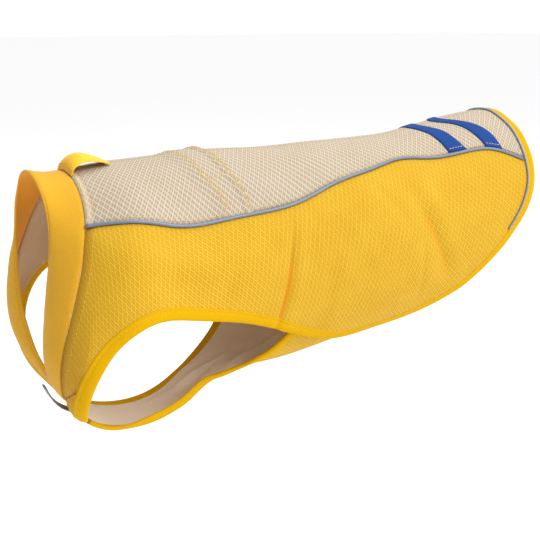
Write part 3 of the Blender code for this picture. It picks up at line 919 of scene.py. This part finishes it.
def make_piping():
    along = np.linspace(COLLAR_SEAM + 1.0, PIPING_REAR_END, PIPING_STEPS)
    around = piping_around(along)
    made = []
    for side, name in ((1, "piping_left_cord"), (-1, "piping_right_cord")):
        points = cloth(along, around * side, PIPING_RISE)
        sections = cord_sections(points, outward(along, around * side), CORD_RADIUS)
        made.append(loft(name, sections, PIPING))
    samples = free_edge()[0]
    line = step_aside(samples[:, 0], samples[:, 1], BINDING_WIDTH + REAR_PIPING_RADIUS + REAR_PIPING_GAP)
    start = np.argmax(samples[:, 0] > REAR_PIPING_START)
    along = np.concatenate([line[0][start:], line[0][start:-1][::-1]])
    around = np.concatenate([line[1][start:], -line[1][start:-1][::-1]])
    points = cloth(along, around, REAR_PIPING_RADIUS)
    sections = cord_sections(points, outward(along, around), REAR_PIPING_RADIUS)
    made.append(loft("piping_rear_cord", sections, REAR_PIPING))
    return made


def make_tapes():
    """The two plain blue tapes over the rump, from piping to piping."""
    made = []
    for name, front, rear in (
        ("blue_tape_front_webbing", "tape1_front", "tape1_rear"),
        ("blue_tape_rear_webbing", "tape2_front", "tape2_rear"),
    ):
        front_along, front_around = tape_edge(front)
        rear_along, rear_around = tape_edge(rear)
        along = between(front_along, rear_along, TAPE_ROWS)
        around = between(front_around, rear_around, TAPE_ROWS)
        share = np.abs(np.linspace(-1, 1, TAPE_ROWS))[None, :]
        out = TAPE_REST + TAPE_THICK * (1 - 0.45 * share**6)
        flat = np.stack([around * MM_PER_DEGREE, along], -1)
        points = cloth(along, around, out)
        made.append(wall(name, points, cloth(along, around, TAPE_REST), flat, WEBBING))
    return made


def strap(name, table, thickness, rows, material):
    """A strap bowed over its width with rounded edges, given by its middle line."""
    knots = np.arange(len(table), dtype=float)
    middle = spline(knots, np.array(table, float), np.linspace(0, knots[-1], rows))
    share = np.sin(np.linspace(-np.pi / 2, np.pi / 2, STRAP_COLUMNS))
    x = middle[:, 0][:, None] + share * 0
    y = middle[:, 2][:, None] * share
    z = middle[:, 1][:, None] - middle[:, 3][:, None] * share**2
    outer = np.stack([x, y, z], -1)
    normal = unit(np.cross(np.gradient(outer, axis=0), np.gradient(outer, axis=1)))
    round_edge = 1 - np.sqrt(np.clip(1 - np.abs(share) ** 8, 0, 1))
    top = outer - normal * (thickness / 2 * round_edge)[None, :, None]
    under = outer - normal * (thickness - thickness / 2 * round_edge)[None, :, None]
    sections = np.concatenate([top, under[:, -2:0:-1]], 1)
    return loft(name, sections, material), outer, normal


def make_neck_loop():
    """The loop over the collar seam, with two rows of thread across its base."""
    made, outer, normal = strap("neck_loop_tape", NECK_LOOP, LOOP_THICK, LOOP_ROWS, LOOP_KNIT)
    beads = []
    for row in LOOP_STITCH_ROWS:
        beads += bead_row(outer[row], normal[row])
    add_beads("stitches_loop", beads, THREAD_BRIGHT)
    return made


def stitches(name, lines, material):
    """Rows of thread: each line is (along, around, out), each stitch a small bowed bead."""
    beads = []
    for along, around, out in lines:
        along, around, out = np.broadcast_arrays(along, around, np.asarray(out, float))
        points = cloth(along, around, out - STITCH_SINK)
        beads += bead_row(points, outward(along, around))
    return add_beads(name, beads, material)


def bead_row(points, normals):
    """Closed sections of each stitch along a line of points."""
    length = running_length(points)
    tangents = unit(np.gradient(points, axis=0))
    middles = np.arange(STITCH_PITCH / 2, length[-1], STITCH_PITCH)
    share = np.array([-1.0, -0.55, 0.55, 1.0])
    girth = np.array([0.35, 0.95, 0.95, 0.35]) * STITCH_RADIUS
    turn = np.linspace(0, 2 * np.pi, 5, endpoint=False)
    beads = []
    for middle in middles:
        here = np.array([np.interp(middle, length, points[:, axis]) for axis in range(3)])
        ahead = unit(np.array([np.interp(middle, length, tangents[:, axis]) for axis in range(3)]))
        up = unit(np.array([np.interp(middle, length, normals[:, axis]) for axis in range(3)]))
        side = np.cross(ahead, up)
        centres = here + ahead * share[:, None] * STITCH_LENGTH / 2
        ring = np.cos(turn)[:, None] * side + np.sin(turn)[:, None] * up
        beads.append(centres[:, None] + ring[None] * girth[:, None, None])
    return beads


def add_beads(name, beads, material):
    points = np.concatenate([bead.reshape(-1, 3) for bead in beads])
    rings, sides = beads[0].shape[:2]
    faces = []
    for number in range(len(beads)):
        start = number * rings * sides
        for ring in range(rings - 1):
            for side in range(sides):
                low = start + ring * sides + side
                next_low = start + ring * sides + (side + 1) % sides
                faces.append([low, next_low, next_low + sides, low + sides])
        faces.append([start + side for side in range(sides)])
        faces.append([start + (rings - 1) * sides + side for side in range(sides)])
    flats = [(0.0, 0.0)] * sum(len(face) for face in faces)
    return add_piece(name, points, faces, flats, np.ones(len(faces), bool), material)


def edge_stitch_line(edge_along, edge_around, inward, drop=None, curl=0.0):
    along, around = step_aside(edge_along, edge_around, BINDING_STITCH * inward)
    out = 0.35
    if drop is not None:
        out = 0.35 + drop(along) + belly_curl(along, BINDING_STITCH, curl)
    return along, around, out


def make_stitches():
    """Every row of thread that shows, grouped by the seam it holds."""
    ring = np.linspace(-180, 180, 400)
    collar = [(np.full(400, COLLAR_STITCH), ring, -0.2)]
    made = [stitches("stitches_collar", collar, THREAD_DEEP)]
    samples = free_edge()[0]
    hem = [
        edge_stitch_line(samples[:, 0], samples[:, 1], 1),
        edge_stitch_line(samples[:, 0], -samples[:, 1], -1),
    ]
    made.append(stitches("stitches_hem", hem, THREAD_BRIGHT))
    edge = belly_edge()
    belly = [
        edge_stitch_line(edge[:, 0], edge[:, 1], -1, belly_drop, BELLY_CURL_LEFT),
        edge_stitch_line(edge[:, 0], -edge[:, 1], 1, belly_drop, BELLY_CURL_RIGHT),
    ]
    rear = np.linspace(105, 255, 200)
    rear_along = np.full(200, BELLY_REAR_EDGE - BINDING_STITCH)
    belly.append((rear_along, rear, belly_drop(rear_along) + 0.35))
    made.append(stitches("stitches_belly", belly, THREAD_BRIGHT))
    edge_around = piping_around(COLLAR_SEAM + RIDGE_STITCH)
    back_ring = np.linspace(-edge_around + 3, edge_around - 3, 120)
    back = []
    for behind, out in ((2.0, 0.6), (RIDGE_STITCH, -0.3)):
        back.append((np.full(120, COLLAR_SEAM + behind), back_ring, out))
    made.append(stitches("stitches_back_front", back, THREAD_BRIGHT))
    sides = []
    for side in (1, -1):
        down = np.linspace(edge_around + 3, 128, 140) * side
        sides.append((np.full(140, COLLAR_SEAM + RIDGE_STITCH), down, -0.3))
    made.append(stitches("stitches_side_front", sides, THREAD_BRIGHT))
    beside = []
    down_back = np.linspace(COLLAR_SEAM + 9, PIPING_REAR_END - 6, 400)
    for side in (1, -1):
        line = piping_around(down_back)
        line = line - degrees_of(down_back, line, 4.2)
        lift = np.where(down_back < 146, portal_height(down_back, line), 0)
        beside.append((down_back, line * side, lift + 0.05))
    made.append(stitches("stitches_beside_piping", beside, THREAD_PALE))
    portal = []
    for name, shift, out in (
        ("portal_seam", -2.6, 0.1),
        ("portal_seam", 0.0, 0.1),
        ("portal_edge", -PORTAL_HEM_STITCH, 0.95),
        ("portal_edge", -1.0, 1.35),
    ):
        reach = np.linspace(-50, 50, 180)
        along = cross_line(name, reach) + shift
        portal.append((along, reach, portal_height(along, reach) + out))
    for side in (1, -1):
        reach = np.full(30, 31.0) * side
        along = np.linspace(cross_line("portal_seam", 31.0) + 2, cross_line("portal_edge", 31.0) - 4, 30)
        portal.append((along, reach, portal_height(along, reach) + 0.1))
    made.append(stitches("stitches_portal", portal, THREAD_BRIGHT))
    tapes = []
    for front, rear_name in (("tape1_front", "tape1_rear"), ("tape2_front", "tape2_rear")):
        for side in (1, -1):
            front_along, front_around = tape_edge(front)
            rear_along, rear_around = tape_edge(rear_name)
            share = np.linspace(0.08, 0.92, 30)
            along = front_along[-1] * (1 - share) + rear_along[-1] * share
            around = front_around[-1] * (1 - share) + rear_around[-1] * share - 2.6
            tapes.append((along, around * side, TAPE_REST + TAPE_THICK))
    made.append(stitches("stitches_tapes", tapes, THREAD_PALE))
    return made


FLAT_MAP = "flat_cloth_mm"
SHEEN_TINT = (1.0, 0.86, 0.6, 1)
# The deep orange painted into creases as their shade.
CREASE_SHADE_COLOUR = (0.70, 0.27, 0.006, 1)


def start_material(name, roughness, sheen, metallic=0.0, shine=0.2):
    material = bpy.data.materials.new(name)
    material.use_nodes = True
    shader = material.node_tree.nodes["Principled BSDF"]
    shader.inputs["Roughness"].default_value = roughness
    shader.inputs["Sheen Weight"].default_value = sheen
    shader.inputs["Sheen Roughness"].default_value = 0.5
    shader.inputs["Sheen Tint"].default_value = SHEEN_TINT
    shader.inputs["Metallic"].default_value = metallic
    shader.inputs["Specular IOR Level"].default_value = shine
    return material, material.node_tree, shader


def add_node(tree, kind, sockets=(), **settings):
    """A node with its settings, and pairs of a socket and its value or link."""
    made = tree.nodes.new(kind)
    for key, value in settings.items():
        setattr(made, key, value)
    for socket, value in sockets:
        if isinstance(value, bpy.types.NodeSocket):
            tree.links.new(value, made.inputs[socket])
        else:
            made.inputs[socket].default_value = value
    return made


def calc(tree, operation, *values):
    return add_node(tree, "ShaderNodeMath", list(enumerate(values)), operation=operation).outputs[0]


def remap(tree, value, low, high, new_low=0.0, new_high=1.0, smooth=False):
    kind = "SMOOTHSTEP" if smooth else "LINEAR"
    sockets = (("Value", value), ("From Min", low), ("From Max", high), ("To Min", new_low), ("To Max", new_high))
    return add_node(tree, "ShaderNodeMapRange", sockets, interpolation_type=kind).outputs["Result"]


def mix_colour(tree, share, first, second, blend="MIX"):
    sockets = (("Fac", share), ("Color1", first), ("Color2", second))
    return add_node(tree, "ShaderNodeMixRGB", sockets, blend_type=blend).outputs["Color"]


def noise(tree, place, per_mm, detail=2.0, output="Fac"):
    sockets = (("Vector", place), ("Scale", per_mm), ("Detail", detail))
    return add_node(tree, "ShaderNodeTexNoise", sockets).outputs[output]


def flat_place(tree, wobble=0.0):
    """The place on the flat cloth in mm, with threads that wander by this much."""
    place = add_node(tree, "ShaderNodeUVMap", uv_map=FLAT_MAP).outputs["UV"]
    if not wobble:
        return place
    drift = noise(tree, place, 0.09, 1.0, "Color")
    centred = add_node(tree, "ShaderNodeVectorMath", ((0, drift), (1, (0.5, 0.5, 0.5))), operation="SUBTRACT")
    scaled = add_node(tree, "ShaderNodeVectorMath", ((0, centred.outputs[0]), ("Scale", wobble)), operation="SCALE")
    moved = add_node(tree, "ShaderNodeVectorMath", ((0, place), (1, scaled.outputs[0])), operation="ADD")
    return moved.outputs[0]


def thread_lines(tree, place, heading, spacing, width):
    """1 on the lines of one family and 0 between them; heading is degrees from +X to the belly."""
    turn = math.radians(heading)
    across = (-math.sin(turn) / spacing, math.cos(turn) / spacing, 0)
    dot = add_node(tree, "ShaderNodeVectorMath", ((0, place), (1, across)), operation="DOT_PRODUCT")
    share = calc(tree, "FRACT", dot.outputs["Value"])
    off = calc(tree, "ABSOLUTE", calc(tree, "SUBTRACT", share, 0.5))
    return remap(tree, off, 0.5 - width, 0.5, smooth=True)


def set_bump(tree, shader, height, distance_mm, strength=1.0):
    sockets = (("Height", height), ("Distance", distance_mm * MM), ("Strength", strength))
    bump = add_node(tree, "ShaderNodeBump", sockets)
    tree.links.new(bump.outputs["Normal"], shader.inputs["Normal"])


def set_colour(tree, shader, colour):
    tree.links.new(colour, shader.inputs["Base Color"])


Lattice = namedtuple("Lattice", "heading spacing width strength")


def mesh_cloth(name, thread, hollow, blurred_and_shaded, lattice, worn):
    """Spacer mesh: two families of raised threads over darker cells."""
    material, tree, shader = start_material(name, 0.8, 0.05, shine=0.12)
    place = flat_place(tree, 1.1)
    threads = None
    for family in lattice:
        lines = thread_lines(tree, place, family.heading, family.spacing, family.width)
        lines = calc(tree, "MULTIPLY", lines, family.strength)
        threads = lines if threads is None else calc(tree, "MAXIMUM", threads, lines)
    fibre = noise(tree, place, 2.2, 3.0)
    patch = noise(tree, place, 0.03, 3.0)
    cells = mix_colour(tree, remap(tree, fibre, 0.3, 0.7), (*hollow, 1), (*[c * 0.86 for c in hollow], 1))
    blur_and_shade = add_node(tree, "ShaderNodeAttribute", attribute_name=BLUR_AND_SHADE_MARK).outputs["Fac"]
    crease_shade = add_node(tree, "ShaderNodeAttribute", attribute_name=CREASE_SHADE_MARK).outputs["Fac"]
    colour = mix_colour(tree, threads, cells, (*thread, 1))
    # Painted shade: where the lattice fades low at the front of the flank, the blurred colour is darker and stands
    # for shade.
    colour = mix_colour(tree, blur_and_shade, colour, (*blurred_and_shaded, 1))
    # Painted shade: deep orange along the creases.
    colour = mix_colour(tree, crease_shade, colour, CREASE_SHADE_COLOUR)
    tint = mix_colour(tree, remap(tree, patch, 0.3, 0.7), (*worn, 1), (1.0, 1.0, 1.0, 1))
    colour = mix_colour(tree, 0.8, colour, tint, "MULTIPLY")
    set_colour(tree, shader, colour)
    height = calc(tree, "MULTIPLY_ADD", fibre, 0.25, calc(tree, "MULTIPLY", threads, 1.0))
    set_bump(tree, shader, height, 0.4, 0.6)
    return material


def felt_cloth(name, colour_light, colour_deep, colour_inside_shade):
    """Smooth brushed knit: a fine grain with faint slanting ribs; its inner face is painted a deeper orange as
    shade.
    """
    material, tree, shader = start_material(name, 0.88, 0.12)
    place = flat_place(tree, 0.6)
    grain = noise(tree, place, 1.1, 4.0)
    patch = noise(tree, place, 0.035, 2.0)
    ribs = thread_lines(tree, place, 62, 1.5, 0.4)
    share = calc(tree, "MULTIPLY_ADD", ribs, 0.25, remap(tree, grain, 0.35, 0.65, 0.0, 0.6))
    share = calc(tree, "MULTIPLY_ADD", patch, 0.5, calc(tree, "SUBTRACT", share, 0.2))
    colour = mix_colour(tree, share, (*colour_light, 1), (*colour_deep, 1))
    # Painted shade on the collar's inner face.
    inside = add_node(tree, "ShaderNodeAttribute", attribute_name=INNER_SHADE_MARK).outputs["Fac"]
    set_colour(tree, shader, mix_colour(tree, inside, colour, (*colour_inside_shade, 1)))
    set_bump(tree, shader, calc(tree, "MULTIPLY_ADD", ribs, 0.3, grain), 0.22, 0.6)
    return material


def binding_cloth(name, colour_light, colour_deep):
    """Folded elastic tape: close ribs along its length and a fine grain."""
    material, tree, shader = start_material(name, 0.8, 0.0, shine=0.04)
    place = flat_place(tree, 0.4)
    ribs = thread_lines(tree, place, 90, 0.9, 0.4)
    grain = noise(tree, place, 0.9, 3.0)
    share = calc(tree, "MULTIPLY_ADD", ribs, 0.3, remap(tree, grain, 0.3, 0.7, 0.0, 0.6))
    set_colour(tree, shader, mix_colour(tree, share, (*colour_light, 1), (*colour_deep, 1)))
    set_bump(tree, shader, calc(tree, "MULTIPLY_ADD", grain, 0.5, ribs), 0.14, 0.6)
    return material


def lining_cloth(name, colour_light, colour_deep):
    """Light knit with a small open pattern."""
    material, tree, shader = start_material(name, 0.85, 0.15)
    place = flat_place(tree, 0.7)
    first = thread_lines(tree, place, 45, 1.9, 0.38)
    second = thread_lines(tree, place, -45, 1.9, 0.38)
    knit = calc(tree, "MAXIMUM", first, second)
    patch = noise(tree, place, 0.04, 3.0)
    share = calc(tree, "MULTIPLY_ADD", patch, 0.5, calc(tree, "MULTIPLY_ADD", knit, -0.55, 0.45))
    set_colour(tree, shader, mix_colour(tree, share, (*colour_light, 1), (*colour_deep, 1)))
    set_bump(tree, shader, knit, 0.25, 0.6)
    return material


def reflective_cord(name, colour_light, colour_deep):
    """Reflective braid: slanting bright threads over grey, with a hard shine."""
    material, tree, shader = start_material(name, 0.38, 0.0, 0.35)
    place = flat_place(tree, 0.2)
    first = thread_lines(tree, place, 38, 1.1, 0.4)
    second = thread_lines(tree, place, -38, 1.1, 0.3)
    braid = calc(tree, "MAXIMUM", first, second)
    speckle = noise(tree, place, 0.8, 4.0)
    share = calc(tree, "MULTIPLY_ADD", speckle, 0.7, calc(tree, "MULTIPLY_ADD", braid, -0.4, 0.2))
    set_colour(tree, shader, mix_colour(tree, share, (*colour_light, 1), (*colour_deep, 1)))
    tree.links.new(remap(tree, speckle, 0.3, 0.7, 0.28, 0.5), shader.inputs["Roughness"])
    set_bump(tree, shader, braid, 0.12, 0.6)
    return material


def webbing_cloth(name, colour_light, colour_deep):
    """Plain woven tape with slanting ribs."""
    material, tree, shader = start_material(name, 0.72, 0.0, shine=0.08)
    place = flat_place(tree, 0.3)
    ribs = thread_lines(tree, place, 35, 1.3, 0.42)
    cross = thread_lines(tree, place, 90, 0.9, 0.4)
    weave = calc(tree, "MULTIPLY_ADD", cross, 0.35, ribs)
    patch = noise(tree, place, 0.05, 3.0)
    share = calc(tree, "MULTIPLY_ADD", patch, 0.5, calc(tree, "MULTIPLY_ADD", weave, -0.4, 0.4))
    set_colour(tree, shader, mix_colour(tree, share, (*colour_light, 1), (*colour_deep, 1)))
    set_bump(tree, shader, weave, 0.2, 0.6)
    return material


def thread_material(name, colour):
    material, tree, shader = start_material(name, 0.5, 0.1)
    place = add_node(tree, "ShaderNodeTexCoord").outputs["Object"]
    twist = noise(tree, place, 900.0, 2.0)
    dark = [c * 0.78 for c in colour]
    set_colour(tree, shader, mix_colour(tree, twist, (*colour, 1), (*dark, 1)))
    set_bump(tree, shader, twist, 0.1, 0.5)
    return material


def floor_material(name, colour):
    material, tree, shader = start_material(name, 0.9, 0.0)
    place = add_node(tree, "ShaderNodeTexCoord").outputs["Object"]
    grain = noise(tree, place, 60.0, 2.0)
    dark = [c * 0.995 for c in colour]
    set_colour(tree, shader, mix_colour(tree, grain, (*colour, 1), (*dark, 1)))
    return material


YELLOW_LATTICE = (
    Lattice(47, 3.9, 0.16, 1.0),
    Lattice(-78, 4.4, 0.16, 0.8),
    Lattice(47, 1.95, 0.30, 0.45),
)
CREAM_LATTICE = (
    Lattice(56, 4.4, 0.18, 1.0),
    Lattice(-59, 3.9, 0.18, 0.85),
    Lattice(-59, 1.95, 0.30, 0.5),
)
YELLOW_WORN = (0.95, 0.89, 0.72)
CREAM_WORN = (0.96, 0.93, 0.88)
YELLOW_MESH = mesh_cloth(
    "yellow_mesh_cloth",
    (0.735, 0.460, 0.037),
    (0.560, 0.318, 0.016),
    # Blurred colour, darker than the threads: painted shade low at the front of the flank.
    (0.51, 0.265, 0.018),
    YELLOW_LATTICE,
    YELLOW_WORN,
)
CREAM_MESH = mesh_cloth(
    "cream_mesh_cloth",
    (0.625, 0.545, 0.435),
    (0.385, 0.310, 0.225),
    (0.58, 0.50, 0.40),
    CREAM_LATTICE,
    CREAM_WORN,
)
# The third colour is the collar's inner face, deeper orange as painted shade.
FELT = felt_cloth("yellow_felt", (0.69, 0.37, 0.020), (0.56, 0.28, 0.012), (0.64, 0.24, 0.010))
BINDING = binding_cloth("yellow_binding", (0.66, 0.375, 0.002), (0.55, 0.285, 0.001))
# The body lining is the belly lining's knit, painted deeper and more orange as shade and yellow bounce light inside
# the vest.
BODY_LINING_SHADED = lining_cloth("body_lining_knit_shaded_cloth", (0.55, 0.38, 0.23), (0.38, 0.24, 0.13))
BELLY_LINING = lining_cloth("belly_lining_knit_cloth", (0.82, 0.71, 0.57), (0.66, 0.54, 0.41))
PIPING = reflective_cord("reflective_piping", (0.23, 0.265, 0.335), (0.10, 0.12, 0.155))
REAR_PIPING = reflective_cord("rear_reflective_piping", (0.30, 0.35, 0.45), (0.16, 0.19, 0.25))
WEBBING = webbing_cloth("blue_webbing", (0.017, 0.068, 0.27), (0.009, 0.042, 0.18))
LOOP_KNIT = lining_cloth("loop_tape", (0.90, 0.56, 0.030), (0.66, 0.35, 0.014))
TAB_TAPE = reflective_cord("reflective_tab", (0.30, 0.33, 0.38), (0.13, 0.15, 0.18))
THREAD_BRIGHT = thread_material("yellow_thread", (0.72, 0.44, 0.03))
THREAD_DEEP = thread_material("amber_thread", (0.50, 0.27, 0.02))
THREAD_PALE = thread_material("pale_thread", (0.64, 0.50, 0.20))


def add_floor():
    mesh = bpy.data.meshes.new("studio_floor")
    half = FLOOR_SIZE / 2
    corner_points = [(-half, -half, FLOOR_LEVEL), (half, -half, FLOOR_LEVEL), (half, half, FLOOR_LEVEL), (-half, half, FLOOR_LEVEL)]
    mesh.from_pydata(corner_points, [], [(0, 1, 2, 3)])
    mesh.materials.append(floor_material("pale_floor", (0.98, 0.98, 0.98)))
    made = bpy.data.objects.new("studio_floor", mesh)
    bpy.context.scene.collection.objects.link(made)


def add_area_light(name, place, target, size, power):
    light = bpy.data.lights.new(name, "AREA")
    light.energy = power
    light.shape = "SQUARE"
    light.size = size
    made = bpy.data.objects.new(name, light)
    made.location = place
    made.rotation_euler = (Vector(target) - Vector(place)).to_track_quat("-Z", "Y").to_euler()
    bpy.context.scene.collection.objects.link(made)


def add_studio():
    world = bpy.data.worlds.new("studio")
    bpy.context.scene.world = world
    world.use_nodes = True
    background = world.node_tree.nodes["Background"]
    background.inputs["Color"].default_value = (1.0, 1.0, 1.0, 1)
    nodes = world.node_tree
    way = add_node(nodes, "ShaderNodeTexCoord").outputs["Generated"]
    to_tail = add_node(nodes, "ShaderNodeSeparateXYZ", ((0, way),)).outputs["X"]
    strength = remap(nodes, to_tail, -1.0, 1.0, WORLD_AT_HEAD, WORLD_AT_TAIL)
    nodes.links.new(strength, background.inputs["Strength"])
    for light in LIGHTS:
        add_area_light(light.name, light.place, CAMERA_TARGET, light.size, light.power)


def add_camera():
    camera = bpy.data.cameras.new("photo_camera")
    camera.sensor_width = 36.0
    camera.lens = CAMERA_LENS
    made = bpy.data.objects.new("photo_camera", camera)
    turn = math.radians(CAMERA_AZIMUTH)
    rise = math.radians(CAMERA_ELEVATION)
    away = Vector((math.sin(turn) * math.cos(rise), -math.cos(turn) * math.cos(rise), math.sin(rise)))
    made.location = Vector(CAMERA_TARGET) + away * CAMERA_DISTANCE
    made.rotation_euler = (-away).to_track_quat("-Z", "Y").to_euler()
    bpy.context.scene.collection.objects.link(made)
    bpy.context.scene.camera = made


# Camera of the photograph: degrees, mm and metres.
CAMERA_AZIMUTH = -32.5
CAMERA_ELEVATION = 17.5
CAMERA_LENS = 53.333
CAMERA_DISTANCE = 0.760
CAMERA_TARGET = (0.0725, 0.0, -0.1166)

# The floor lies well below the vest, as the wearer holds it up. Metres.
FLOOR_LEVEL = -0.55
FLOOR_SIZE = 60.0

# Strength of the studio's light from the head's side and from the tail's side.
WORLD_AT_HEAD = 0.45
WORLD_AT_TAIL = 1.5
Light = namedtuple("Light", "name place size power")
LIGHTS = [
    Light("key_softbox", (0.9, -1.5, 1.5), 1.3, 34.0),
    Light("top_softbox", (0.2, 0.5, 1.9), 1.6, 14.0),
]


# The record's material slot of each node.
SLOTS = {
    "neck_band": "yellow_knit",
    "side_panel_left": "yellow_mesh_left",
    "side_panel_right": "yellow_mesh_right",
    "back_panel_front": "cream_mesh_front",
    "back_panel_rear": "cream_mesh_rear",
    "body_lining": "body_lining_knit",
    "hem_binding": "hem_tape",
    "belly_panel": "yellow_mesh_belly",
    "belly_lining": "belly_lining_knit",
    "belly_binding_left": "belly_tape_left",
    "belly_binding_right": "belly_tape_right",
    "belly_binding_rear": "belly_tape_rear",
    "piping_left": "piping_left",
    "piping_right": "piping_right",
    "piping_rear": "piping_rear",
    "blue_tape_front": "blue_tape_front",
    "blue_tape_rear": "blue_tape_rear",
    "neck_loop": "loop_knit",
    "chest_tab": "tab_tape",
}

# The cut of each sheet before it was sewn: metres and square metres, with the seams left off.
Cut = namedtuple("Cut", "node width length area held rests_on trim")


def declare():
    """Hides the imported solid of each node that has a material slot in the table."""
    for node, slot in SLOTS.items():
        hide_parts(node)


def main():
    bpy.context.scene.view_settings.view_transform = "Standard"
    made = [make_collar()]
    made.append(make_side(1, "side_panel_left_mesh"))
    made.append(make_side(-1, "side_panel_right_mesh"))
    made += [make_back_front(), make_back_rear(), make_body_lining(), make_hem_binding()]
    made += make_belly()
    made += make_belly_bindings()
    made += make_piping()
    made += make_tapes()
    made.append(make_neck_loop())
    made.append(strap("chest_tab_tape", CHEST_TAB, CHEST_TAB_THICK, CHEST_TAB_ROWS, TAB_TAPE)[0])
    make_stitches()
    declare()
    add_floor()
    add_studio()
    add_camera()


main()
